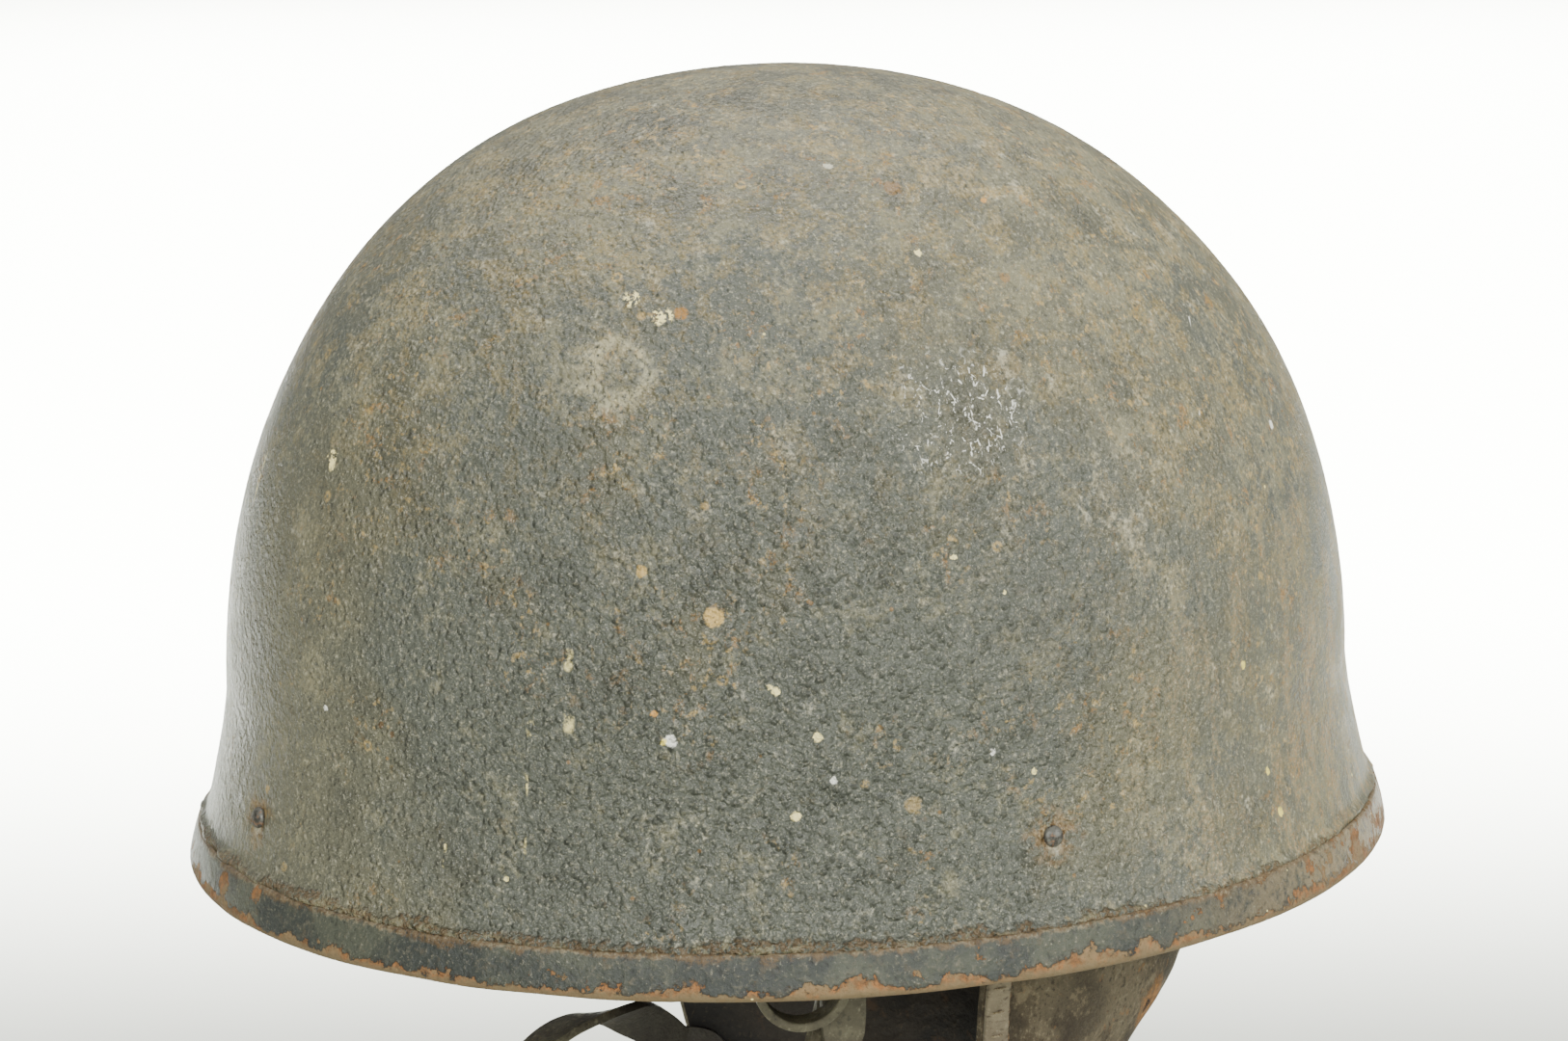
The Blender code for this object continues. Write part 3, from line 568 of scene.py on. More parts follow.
def shellPaint():
    paint = Paint("wornPaint", gloss=0.32)
    height = paint.axis("Z")
    top = height.rise(60.0, 172.0)
    rear = paint.axis("Y").rise(-20.0, 115.0)
    broad = paint.grain(52.0, 3.0, 0.60)
    middle = paint.grain(15.0, 4.0, 0.62)
    small = paint.grain(3.4, 3.0, 0.62)
    fine = paint.grain(1.0, 2.0, 0.60)
    dust = paint.grain(0.45, 2.0, 0.60)

    front = paint.near((92.0, -58.0, 50.0), 140.0, soft=0.9)
    mixed = paint.blend((broad * 0.7 + middle * 0.3 - front * 0.20).rise(0.52, 0.38),
                        colour["olive"], colour["slate"])
    darker = (middle * 0.75 + small * 0.25).rise(0.50, 0.62) * broad.rise(0.40, 0.56)
    mixed = paint.blend(darker * 0.42, mixed, tone(54, 57, 52))
    worn = top * 0.10 + rear * 0.09
    khaki = small * 0.6 + fine * 0.4 - (middle - 0.5) * 0.8 + worn * 0.8 - front * 0.05
    khaki = khaki.rise(0.50, 0.76)
    mixed = paint.blend(khaki * 0.60, mixed, colour["khaki"])
    scuff = (paint.grain(8.0, 5.0, 0.72) + worn * 0.6).rise(0.60, 0.78)
    mixed = paint.blend(scuff * fine.rise(0.36, 0.58) * 0.50, mixed, colour["pale"])
    spread = (paint.grain(26.0, 3.0, 0.6) + worn * 1.1 - 0.03).rise(0.48, 0.64)
    freckle = paint.grain(4.6, 4.0, 0.74, twist=0.4).rise(0.56, 0.68) * spread
    mixed = paint.blend(freckle * fine.rise(0.32, 0.52) * 0.75, mixed, colour["rust"])
    ochre = paint.grain(2.4, 3.0, 0.66).rise(0.58, 0.70) * (spread + 0.10)
    mixed = paint.blend(ochre * 0.55, mixed, colour["tan"])
    warm = paint.grain(8.0, 4.0, 0.66, twist=0.5).rise(0.49, 0.60) * (worn * 9.0).smaller(1.0)
    mixed = paint.blend(warm * fine.rise(0.30, 0.56) * 0.50, mixed, tone(142, 122, 66))
    runs = paint.grain(6.0, 4.0, 0.66, stretch=(1.0, 1.0, 0.16)).rise(0.48, 0.62)
    runs = runs * rear * height.rise(120.0, 50.0)
    mixed = paint.blend(runs * small.rise(0.36, 0.56) * 0.75, mixed, colour["khaki"])
    mixed = paint.blend(runs * fine.rise(0.44, 0.58) * 0.6, mixed, colour["rust"])

    mixed = paint.blend(fine.rise(0.56, 0.78) * 0.40, mixed, colour["pale"])
    mixed = paint.blend(fine.rise(0.43, 0.25) * 0.40, mixed, colour["dark"])
    mixed = paint.blend(dust.rise(0.58, 0.76) * 0.45, mixed, colour["pale"])
    mixed = paint.blend(dust.rise(0.42, 0.25) * 0.40, mixed, colour["dark"])
    pocks = paint.dots(12.0, 0.35, 0.13) * (1 - paint.dots(12.0, 0.35, 0.075))
    mixed = paint.blend(pocks * fine.rise(0.36, 0.50) * 0.6, mixed, colour["tan"])
    mixed = paint.blend(paint.dots(11.0, 0.16, 0.045) * 0.8, mixed, colour["cream"])
    mixed = paint.blend(paint.dots(6.0, 0.20, 0.10) * 0.5, mixed, colour["rust"])
    mixed = paint.blend(paint.dots(4.5, 0.25, 0.11) * 0.40, mixed, colour["dark"])

    tight = paint.ragged(1.5, 0.45)
    loose = paint.ragged(5.5, 3.0)
    ring = markPlace(44.4, 129.0)
    stain = paint.near(ring, 10.5, loose, 0.5) * (1 - paint.near(ring, 7.0, loose, 0.5) * 0.85)
    mixed = paint.blend(stain * fine.rise(0.30, 0.55) * 0.75, mixed, tone(182, 176, 140))
    shade = paint.near((101.0, 2.0, 70.0), 32.0, loose, 0.8)
    mixed = paint.blend(shade * small.rise(0.40, 0.58) * 0.40, mixed, colour["dark"])
    dusty = paint.near((96.0, 24.0, 94.0), 20.0, loose, 0.8)
    mixed = paint.blend(dusty * khaki * 0.7, mixed, colour["pale"])
    # One patch on the wearer's left holds white scratch threads, which are real wear, and white flecks,
    # which are painted highlight on the crinkled paint.
    scratchAndHighlightPatch = paint.near((98.0, -11.0, 119.0), 20.0, loose, 0.5, (1.0, 1.0, 1.3))
    threads = paint.cells(2.9, "DISTANCE_TO_EDGE").rise(0.060, 0.02)
    threads = threads * paint.grain(2.2, 3.0, 0.6).rise(0.57, 0.61)
    paintedHighlightFlecks = paint.grain(1.5, 3.0, 0.66, twist=1.0, stretch=(1.0, 1.0, 0.35)).rise(0.61, 0.65)
    mixed = paint.blend(threads.bigger(paintedHighlightFlecks) * scratchAndHighlightPatch * 0.9, mixed, colour["white"])
    line = paint.streak(markPlace(126.4, 128.0), markPlace(118.0, 110.0), 0.35)
    mixed = paint.blend(line * small.rise(0.40, 0.50) * 0.7, mixed, colour["white"])
    broken = paint.grain(4.0, 4.0, 0.7).rise(0.44, 0.58)
    for drip in drips:
        run = paint.streak(markPlace(drip["turn"], drip["top"]),
                           markPlace(drip["turn"], drip["foot"]), drip["radius"])
        mixed = paint.blend(run * broken * drip["strength"], mixed, colour["cream"])
    pocked = fine.rise(0.28, 0.46)
    dotted = fine.rise(0.51, 0.55)
    for mark in marks:
        patch = paint.near(markPlace(mark["turn"], mark["height"]), mark["radius"], tight, 0.3)
        if mark["radius"] < 1.5:
            patch = patch * 0.9
        else:
            patch = patch * (dotted if mark.get("broken") else pocked)
        mixed = paint.blend(patch * mark.get("strength", 1.0), mixed, colour[mark["colour"]])

    seam = (height + (middle - 0.5) * 7.0 + (small - 0.5) * 5.0 + rear * 2.0).rise(12.6, 11.4)
    mixed = paint.blend(seam * fine.rise(0.40, 0.54) * 0.75, mixed, colour["brown"])
    mixed = paint.blend(seam * small.rise(0.50, 0.62) * 0.5, mixed, colour["khaki"])
    for spot in rivets:
        centre = markPlace(spot["turn"], spot["height"] / mm)
        halo = paint.near(centre, 8.0, loose, 0.6)
        mixed = paint.blend(halo * small.rise(0.44, 0.56) * 0.40, mixed, colour["rust"])
        mixed = paint.blend(halo * fine.rise(0.47, 0.40) * 0.70, mixed, colour["brown"])
        low = (centre[0], centre[1], centre[2] - 2.6)
        mixed = paint.blend(paint.near(low, 2.4, tight, 0.7) * 0.45, mixed, colour["pale"])

    lumps = paint.grain(2.1, 2.0, 0.60).rise(0.34, 0.66)
    pimples = (0.50 - paint.cells(1.6)).bigger(0.0) * paint.grain(5.0, 2.0).rise(0.36, 0.54)
    strong = ((broad - 0.5) * 0.7 + front * 1.05 + 0.45 - rear * 0.15).bigger(0.2)
    relief = (lumps * 0.52 + pimples * 1.60) * strong
    relief = relief + fine * 0.38 + dust * 0.11 + seam * (small + fine) * 0.9
    rough = 0.37 + khaki * 0.16 + freckle * 0.20 - darker * 0.06 + (fine - 0.5) * 0.3 + rear * 0.10
    return paint.finish(mixed, rough, relief)


def innerPaint():
    paint = Paint("innerPaint")
    broad = paint.grain(30.0, 6.0, 0.62)
    small = paint.grain(3.0, 4.0, 0.6)
    mixed = paint.blend(broad.rise(0.42, 0.60), tone(84, 80, 64), tone(62, 64, 60))
    mixed = paint.blend((broad * 0.5 + small * 0.5).rise(0.55, 0.64) * 0.7, mixed, colour["rust"])
    mixed = paint.blend(paint.dots(5.0, 0.3, 0.16) * 0.6, mixed, colour["brown"])
    return paint.finish(mixed, 0.6 + small * 0.25, small + paint.grain(0.8) * 0.4, 0.00025)


makeShell(shellPaint(), innerPaint())
print("shell made")


# Folded rim strip

rim = {
    "outerLeg": 0.0095,
    "innerLeg": 0.0075,
    "columns": 480,
    "outerRows": 6,
    "foldRows": 10,
    "innerRows": 3,
    "endRound": 0.7,  # how far the strip's edges bulge, as a share of half its wall
    "bulge": 0.00022,
    "sway": 0.00028,
    "swayWave": 0.55,
    "swayBelow": 0.0045,
    "ripple": 0.00008,
    "rippleWave": 0.09,
    "jointTurn": 54.0,
    "jointHalf": 0.35,
    "jointDepth": 0.00045,
}


def makeRim(material):
    # The section runs down the outer leg, round the fold, up the inner leg and back again.
    wall = shell["stripWall"] / 2
    outside = shell["gap"] + wall
    middle = outside - foldRadius
    top = edgeHeight + rim["outerLeg"] - foldRadius
    innerTop = edgeHeight + rim["innerLeg"] - foldRadius
    section = []  # out from the shell's outer face, height, and the direction of the strip's face
    for step in range(rim["outerRows"] + 1):
        share = step / rim["outerRows"]
        height = top + (edgeHeight - top) * share
        section.append((outside + rim["bulge"] * math.sin(math.pi * share), height, 0.0))
    for step in range(1, rim["foldRows"] + 1):
        turn = math.pi * step / rim["foldRows"]
        section.append((middle + foldRadius * math.cos(turn),
                        edgeHeight - foldRadius * math.sin(turn), -turn))
    for step in range(1, rim["innerRows"] + 1):
        height = edgeHeight + (innerTop - edgeHeight) * step / rim["innerRows"]
        section.append((-(shell["wall"] + shell["gap"] + wall), height, -math.pi))
    turns = [360 * column / rim["columns"] for column in range(rim["columns"])]

    def ring(out, height, facing, side):
        line = []
        for turn in turns:
            angle = math.radians(turn)
            x, y = math.cos(angle) * 3, math.sin(angle) * 3
            sway = fuzz((x, y, 0), rim["swayWave"], 5.0) * rim["sway"]
            ripple = fuzz((x, y, height * 40), rim["rippleWave"], 9.0) * rim["ripple"]
            joint = abs((turn - rim["jointTurn"] + 180) % 360 - 180)
            notch = rim["jointDepth"] * math.exp(-((joint / rim["jointHalf"]) ** 2)) if side > 0 else 0
            offset = out + side * wall * math.cos(facing) + ripple - notch
            lift = side * wall * math.sin(facing) + sway * smooth(rim["swayBelow"], 0.0, height)
            base = shellPoint(turn, max(height, edgeHeight), out=offset)
            line.append(Vector((base.x, base.y, height + lift)))
        return line

    (topOut, topHeight, topFacing), (endOut, endHeight, endFacing) = section[0], section[-1]
    over = wall * rim["endRound"]
    rows = [ring(*place, 1) for place in section]
    rows.append(ring(endOut, endHeight + over, endFacing, 0))
    rows += [ring(*place, -1) for place in reversed(section)]
    rows.append(ring(topOut, topHeight + over, topFacing, 0))
    mesh = gridMesh("rimStrip", rows, wrap=True, close=True)
    addPiece("rimStrip", mesh, [material], ["rim_band"])


def rimPaint():
    paint = Paint("rimPaint", gloss=0.4)
    height = paint.axis("Z")
    broad = paint.grain(19.0, 5.0, 0.6)
    middle = paint.grain(9.0, 5.0, 0.62)
    ragged = paint.grain(4.2, 6.0, 0.66)
    small = paint.grain(1.6, 4.0, 0.62)
    fine = paint.grain(0.7, 3.0, 0.6)
    backward = paint.axis("Y").rise(10.0, 95.0)
    mixed = paint.blend(broad.rise(0.42, 0.60), tone(72, 75, 62), tone(50, 54, 49))
    mixed = paint.blend(backward * (middle * 0.5 + small * 0.5).rise(0.34, 0.56) * 0.9, mixed,
                        tone(134, 118, 84))
    mixed = paint.blend((small * 0.6 + fine * 0.4).rise(0.50, 0.68) * 0.45, mixed, tone(118, 112, 92))
    mixed = paint.blend(small.rise(0.44, 0.32) * 0.6, mixed, tone(34, 34, 30))
    mixed = paint.blend(ragged.rise(0.55, 0.68) * 0.35, mixed, tone(96, 84, 62))
    mixed = paint.blend(fine.rise(0.62, 0.76) * 0.3, mixed, colour["pale"])

    edge = height + (ragged - 0.5) * 9.0 + (middle - 0.5) * 11.0 + (broad - 0.5) * 9.0
    bare = edge.rise(2.9, 2.5).bigger((height + (ragged - 0.5) * 5.0).rise(2.1, 1.7))
    nearby = paint.ragged(2.0, 0.9)
    for place, radius in (((101.0, -78.0, 3.0), 3.6), ((103.5, -73.5, 4.6), 1.6),
                          ((-8.0, -139.0, 6.8), 3.0), ((8.5, -139.0, 9.0), 2.4)):
        bare = bare.bigger(paint.near(place, radius, nearby, 0.2))
    patches = ragged * 0.4 + middle * 0.6 + backward * 0.075
    bare = bare.bigger(patches.rise(0.600, 0.615))
    rusty = paint.blend(small.rise(0.38, 0.60), tone(144, 98, 54), tone(108, 78, 48))
    rusty = paint.blend(paint.grain(6.0, 5.0, 0.66).rise(0.44, 0.58) * 0.8, rusty, tone(126, 108, 76))
    rusty = paint.blend(fine.rise(0.46, 0.32) * 0.6, rusty, tone(70, 52, 32))
    lip = (height + (ragged - 0.5) * 5.0).rise(2.6, 1.2)
    rusty = paint.blend(lip * 0.8, rusty, tone(112, 98, 70))
    mixed = paint.blend(bare, mixed, rusty)
    rimLine = edge.rise(3.6, 3.2) * (1 - bare)
    mixed = paint.blend(rimLine * 0.4, mixed, tone(40, 30, 20))
    worn = (height + (ragged - 0.5) * 3.0 + (small - 0.5) * 1.5).rise(9.2, 10.0)
    mixed = paint.blend(worn * small.rise(0.40, 0.56) * 0.6, mixed, tone(150, 138, 108))
    crust = (height + (broad - 0.5) * 6.0 + (ragged - 0.5) * 5.0).rise(8.9, 10.1)
    mixed = paint.blend(crust * fine.rise(0.36, 0.50) * 0.75, mixed, colour["brown"])
    mixed = paint.blend(paint.dots(6.0, 0.30, 0.06) * 0.8, mixed, colour["cream"])
    relief = ragged * 0.9 + small * 0.55 + fine * 0.16 - bare * 0.28
    rough = 0.42 + bare * 0.35 + (small - 0.5) * 0.3
    return paint.finish(mixed, rough, relief)


makeRim(rimPaint())
print("rim strip made")


# Rivets

def rivetMesh(name, grip):
    # A domed head above the origin, its shank below and the flat end of the shank.
    radius = rivet["headRadius"]
    shank = radius * rivet["underHead"][-1][0]
    section = []
    for step in range(rivet["headRings"] + 1):
        turn = math.pi / 2 * step / rivet["headRings"]
        height = rivet["headLift"] + rivet["headHeight"] * math.cos(turn)
        section.append((radius * math.sin(turn), height))
    section += [(radius * share, -depth) for share, depth in rivet["underHead"]]
    section += [(shank, -grip), (radius, -grip - rivet["tailStep"]),
                (radius * rivet["tailShare"], -grip - rivet["tail"])]
    rows = []
    for out, height in section[1:]:
        row = []
        for side in range(rivet["sides"]):
            angle = 2 * math.pi * side / rivet["sides"]
            x, y = math.cos(angle), math.sin(angle)
            knock = 1 + rivet["knock"] * fuzz((x, y, height * 600), 0.9, grip * 900)
            row.append(Vector((out * knock * x, out * knock * y, height)))
        rows.append(row)
    ends = (Vector((0, 0, section[0][1])), Vector((0, 0, section[-1][1] - rivet["tailStep"])))
    return gridMesh(name, rows, wrap=True, ends=ends)


def nodeMiddle(name):
    low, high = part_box(name)
    return (Vector(low) + Vector(high)) / 2


def addRivet(name, grip, seat, outward, material, node):
    mesh = rivetMesh(name, grip)
    addPiece(name, mesh, [material], [node])
    mesh.transform(Matrix.Translation(seat) @ outward.to_track_quat("Z", "Y").to_matrix().to_4x4())


def makeRivets(material):
    for spot in rivets:
        side, turn, height = spot["side"], spot["turn"], spot["height"]
        above, below = height + rivet["slopeStep"], height - rivet["slopeStep"]
        slope = shellPoint(turn, above) - shellPoint(turn, below)
        around = Vector((math.cos(math.radians(turn)), math.sin(math.radians(turn)), 0))
        outward = around.cross(slope).normalized()
        seat = shellPoint(turn, height) - outward * rivet["dishDepth"] * rivet["sunk"]
        addRivet("shellRivet_" + side, rivet["shellGrip"], seat, outward, material,
                 "shell_rivet_" + side)
        level = Vector((outward.x, outward.y, 0)).normalized()
        seat = nodeMiddle("band_rivet_" + side) + level * rivet["bandSeat"]
        addRivet("bandRivet_" + side, rivet["bandGrip"], seat, level, material,
                 "band_rivet_" + side)


def rivetSteel():
    paint = Paint("rivetSteel")
    small = paint.grain(1.1, 4.0, 0.6)
    mixed = paint.blend(small.rise(0.44, 0.60), tone(96, 96, 88), tone(62, 60, 54))
    rusty = paint.grain(1.8, 4.0, 0.65).rise(0.55, 0.62)
    mixed = paint.blend(rusty * 0.7, mixed, tone(126, 92, 62))
    return paint.finish(mixed, 0.46 + rusty * 0.3, small, 0.00012, metal=0.45 - rusty * 0.45)


makeRivets(rivetSteel())
print("rivets made")


# Head band and its clips

band = {
    "halfWidth": 0.0765,
    "halfLength": 0.0965,
    "thickness": 0.003,
    "height": 0.032,
    "bottom": 0.004,
    "columns": 160,
    "rows": 12,
    "facets": 48,
    "sway": 0.00015,
    "swayWave": 0.6,
    "roundEdge": 0.0007,
}
clip = {
    "width": 0.009,
    "thickness": 0.0012,
    "leg": 0.006,
    "bend": 0.003,
    "stretchRows": 4,
    "taper": (0.55, 0.90),  # shares of the width at each end and one row in
    "roundEdge": 0.00025,
}


def bandPoint(turn, height, out=0.0):
    angle = math.radians(turn - 90)
    return Vector(((band["halfWidth"] + out) * math.cos(angle),
                   (band["halfLength"] + out) * math.sin(angle), height))


def makeHeadBand(material):
    rows = []
    for row in range(band["rows"] + 1):
        share = row / band["rows"]
        height = band["bottom"] + band["height"] * (1 - share)
        line = []
        for column in range(band["columns"]):
            turn = 360 * column / band["columns"]
            x, y = math.cos(math.radians(turn)) * 2, math.sin(math.radians(turn)) * 2
            sway = fuzz((x, y, share), band["swayWave"]) * band["sway"]
            line.append(bandPoint(turn, height, band["thickness"] / 2 + sway))
        rows.append(line)
    mesh = gridMesh("headBandLeather", rows, wrap=True)
    made = addPiece("headBandLeather", mesh, [material], ["head_band"])
    thicken(made, band["thickness"], band["roundEdge"])


def ribbonRows(path, faces, widths, across):
    # Rows across a ribbon that follows a path; faces are the directions of its width.
    rows = []
    for index, point in enumerate(path):
        before = path[max(index - 1, 0)]
        after = path[min(index + 1, len(path) - 1)]
        run = (after - before).normalized()
        side = (faces[index] - run * faces[index].dot(run)).normalized() * widths[index]
        rows.append([point + side * (step / across - 0.5) for step in range(across + 1)])
    return rows


def makeClips(material):
    halfWall = clip["thickness"] / 2
    for spot in rivets:
        side, turn, height = spot["side"], spot["turn"], spot["height"]
        seat = shellPoint(turn, height)
        upWall = (shellPoint(turn, height + rivet["slopeStep"]) - seat).normalized()
        outward = Vector((seat.x, seat.y, 0)).normalized()
        around = upward.cross(outward)
        normal = around.cross(upWall).normalized()
        shellLeg = seat - normal * (shell["wall"] + shell["gap"] + halfWall)
        bandLeg = bandPoint(turn, height, band["thickness"] + shell["gap"] + halfWall)
        leg, bend = clip["leg"], clip["bend"]
        corners = [
            shellLeg - upWall * leg, shellLeg, shellLeg + upWall * leg,
            shellLeg + upWall * (leg + bend) - outward * bend,
            bandLeg + upward * (leg + bend) + outward * bend,
            bandLeg + upward * leg, bandLeg, bandLeg - upward * leg,
        ]
        path = [start.lerp(end, step / clip["stretchRows"])
                for start, end in zip(corners, corners[1:]) for step in range(clip["stretchRows"])]
        path.append(corners[-1])
        plain = [1.0] * (len(path) - 2 * len(clip["taper"]))
        shares = [*clip["taper"], *plain, *reversed(clip["taper"])]
        widths = [clip["width"] * share for share in shares]
        rows = ribbonRows(path, [around] * len(path), widths, 4)
        made = addPiece("steelClip_" + side, gridMesh("steelClip_" + side, rows), [material],
                        ["clip_" + side])
        thicken(made, clip["thickness"], clip["roundEdge"])


def clipSteel():
    paint = Paint("clipSteel")
    broad = paint.grain(5.0, 5.0, 0.65)
    small = paint.grain(1.2, 4.0, 0.6)
    mixed = paint.blend(small.rise(0.40, 0.62), tone(118, 112, 100), tone(84, 82, 76))
    rusty = (broad * 0.6 + small * 0.4).rise(0.50, 0.60)
    mixed = paint.blend(rusty * 0.8, mixed, tone(122, 82, 52))
    relief = small * 0.7 + broad * 0.3
    return paint.finish(mixed, 0.42 + rusty * 0.4, relief, 0.0002, metal=0.6 - rusty * 0.6)


def bandLeather():
    paint = Paint("bandLeather")
    broad = paint.grain(22.0, 5.0, 0.6)
    pores = paint.cells(0.9)
    small = paint.grain(2.2, 4.0, 0.6)
    creases = paint.grain(3.0, 4.0, 0.6, twist=1.2, stretch=(1.0, 1.0, 0.35))
    mixed = paint.blend(broad.rise(0.40, 0.62), tone(92, 66, 44), tone(58, 44, 33))
    mixed = paint.blend(small.rise(0.55, 0.70) * 0.5, mixed, tone(124, 98, 70))
    mixed = paint.blend(creases.rise(0.44, 0.36) * 0.5, mixed, tone(36, 28, 22))
    relief = pores * 0.15 + creases * 0.5 + small * 0.25
    return paint.finish(mixed, 0.48 + broad * 0.25, relief)


steel = clipSteel()
makeHeadBand(bandLeather())
makeClips(steel)
print("head band and clips made")


# Stitches

thread = {"sides": 6, "rings": 6, "end": 0.25, "thin": 0.35, "arch": 0.5}  # shares of its radius
stitches = {
    "hemStitches": {"count": 28, "first": 0.03, "pitch": 0.034, "run": 0.024, "inset": 0.0009,
                    "foot": 0.96, "length": 0.0023, "radius": 0.00032},
    "edgeStitches": {"count": 15, "first": 0.04, "pitch": 0.064, "length": 0.0032, "radius": 0.00030,
                     "ends": ((0.0010, 0.0005), (0.0042, 0.0006))},  # in from the edge, lift
    "bandStitches": {"count": 84, "reach": 0.985, "run": 0.012, "depth": -0.35, "length": 0.0022,
                     "radius": 0.0003},
    "sweatBandStitches": {"count": 132, "run": 1.4, "below": 0.004, "length": 0.0026,
                          "radius": 0.0003},
    "tabStitches": {"count": 4, "pitch": 0.0022, "apart": 0.0037, "start": 0.55, "length": 0.0016,
                    "radius": 0.00028},
}
threadLift = 0.0001


def stitchRow(name, places, material, side=""):
    # One mesh of short threads; each place gives a point, the thread's run and its lift.
    points, faces = [], []
    sides, rings = thread["sides"], thread["rings"]
    length, radius = stitches[name]["length"], stitches[name]["radius"]
    for point, run, lift in places:
        run = run.normalized()
        lift = (lift - run * lift.dot(run)).normalized()
        across = run.cross(lift)
        start = len(points)
        for ring in range(rings + 1):
            turn = math.pi * ring / rings
            swell = thread["thin"] + (1 - thread["thin"]) * max(math.sin(turn), 0.0) ** 0.6
            thick = radius * (swell if 0 < ring < rings else thread["end"])
            centre = point + run * length * (ring / rings - 0.5)
            centre += lift * radius * thread["arch"] * math.sin(turn)
            for step in range(sides):
                angle = 2 * math.pi * step / sides
                points.append(centre + across * thick * math.cos(angle) + lift * thick * math.sin(angle))
        for ring in range(rings):
            first = start + ring * sides
            for step in range(sides):
                after = (step + 1) % sides
                faces.append((first + step, first + after, first + sides + after, first + sides + step))
        faces.append(tuple(start + step for step in reversed(range(sides))))
        faces.append(tuple(start + rings * sides + step for step in range(sides)))
    addPiece(name + side, newMesh(name + side, points, faces), [material])


def threadPaint(name, first, second):
    paint = Paint(name)
    twist = paint.grain(0.5, 3.0, 0.6)
    mixed = paint.blend(twist.rise(0.42, 0.58), tone(*first), tone(*second))
    return paint.finish(mixed, 0.75 + twist * 0.2, twist, 0.0001)


# Leather neck curtain

curtain = {
    "flat": (0.274, 0.115),  # the leather as cut, sewn edge by longest drop
    "flatArea": 0.0266,
    "thickness": 0.0022,
    "lap": 0.014,
    "drop": 0.096,
    "edge": 0.004,
    "roundEdge": 0.0006,
    "halfWaves": 7,  # folds from one front edge to the other
    "foldDepth": 0.0016,
    "foldPower": 1.5,
    "creaseDepth": 0.0007,
    "creaseWaves": (0.016, 0.007),
    "creaseTop": 0.25,  # the creases grow over this share of the drop
    "columns": 240,
    "crowding": 0.35,  # sets the columns closer together at both front edges
    "lapRows": 8,
    "rows": 84,
    "soften": 0.04,  # rounds the sections off over this share of the drop
    "softenEdge": 0.02,
    "sections": (
        {"depth": 0.00, "width": 1.000, "length": 1.000, "edge": 0.02},
        {"depth": 0.18, "width": 0.998, "length": 0.958, "edge": 0.00},
        {"depth": 0.28, "width": 0.997, "length": 0.928, "edge": -0.01},
        {"depth": 0.37, "width": 0.995, "length": 0.888, "edge": -0.01},
        {"depth": 0.46, "width": 0.990, "length": 0.780, "edge": 0.01},
        {"depth": 0.54, "width": 0.985, "length": 0.715, "edge": 0.04},
        {"depth": 0.66, "width": 0.976, "length": 0.645, "edge": 0.07},
        {"depth": 0.80, "width": 0.966, "length": 0.615, "edge": 0.10},
        {"depth": 1.00, "width": 0.955, "length": 0.610, "edge": 0.17},
    ),
    "lowerEdge": (
        {"round": 0.00, "reach": 0.86},
        {"round": 0.30, "reach": 0.87},
        {"round": 0.55, "reach": 0.92},
        {"round": 0.75, "reach": 0.98},
        {"round": 0.86, "reach": 1.00},
        {"round": 0.94, "reach": 0.97},
        {"round": 1.00, "reach": 0.84},
    ),
}
hem = {
    "width": 0.0058,
    "thickness": 0.0014,
    "columns": 8,
    "rows": 80,
    "reach": 0.995,
    "bow": 0.0004,
    "crinkle": 0.00018,
    "crinkleWave": 0.004,
    "roundEdge": 0.0005,
}


frontEdges = (("left", 1), ("right", -1))


def softTable(table, key, value, column, spread):
    # The table's value, rounded off over a short stretch either side.
    steps = (-1.0, -0.5, 0.0, 0.5, 1.0)
    return sum(alongTable(table, key, value + spread * step, column) for step in steps) / len(steps)


def curtainSection(depth, column):
    return softTable(curtain["sections"], "depth", max(depth, 0.0), column, curtain["soften"])


def curtainPoint(around, depth, out=0.0):
    # around is 1 at the left front edge, 0 at the nape and -1 at the right front edge;
    # depth is 0 at the head band's lower edge, 1 at the full drop and below 0 on the band.
    fall = curtain["lap"] if depth < 0 else curtain["drop"] + band["bottom"]
    seat = band["thickness"] + shell["gap"] + curtain["thickness"] / 2
    halfWidth = (band["halfWidth"] + seat) * curtainSection(depth, "width")
    halfLength = (band["halfLength"] + seat) * curtainSection(depth, "length")
    edgeBack = curtain["edge"] + curtainSection(depth, "edge") * curtain["drop"]
    edgeAngle = math.asin(edgeBack / halfLength)
    angle = math.pi / 2 - around * (math.pi / 2 - edgeAngle)
    fold = math.cos(curtain["halfWaves"] * math.pi * around) * (1 - around * around)
    fold *= curtain["foldDepth"] * max(depth, 0.0) ** curtain["foldPower"]
    return Vector(((halfWidth + fold + out) * math.cos(angle),
                   (halfLength + fold + out) * math.sin(angle), band["bottom"] - depth * fall))


def curtainRelief(depth, point):
    # Creases in the leather.
    broad, small = curtain["creaseWaves"]
    crease = fuzz((point.x, point.y, point.z * 0.6), broad, 2.0) * 0.6
    crease += fuzz((point.x, point.y, point.z * 1.4), small, 4.0) * 0.25
    return curtain["creaseDepth"] * crease * smooth(0.0, curtain["creaseTop"], depth)


def curtainReach(around):
    return softTable(curtain["lowerEdge"], "round", abs(around), "reach", curtain["softenEdge"])


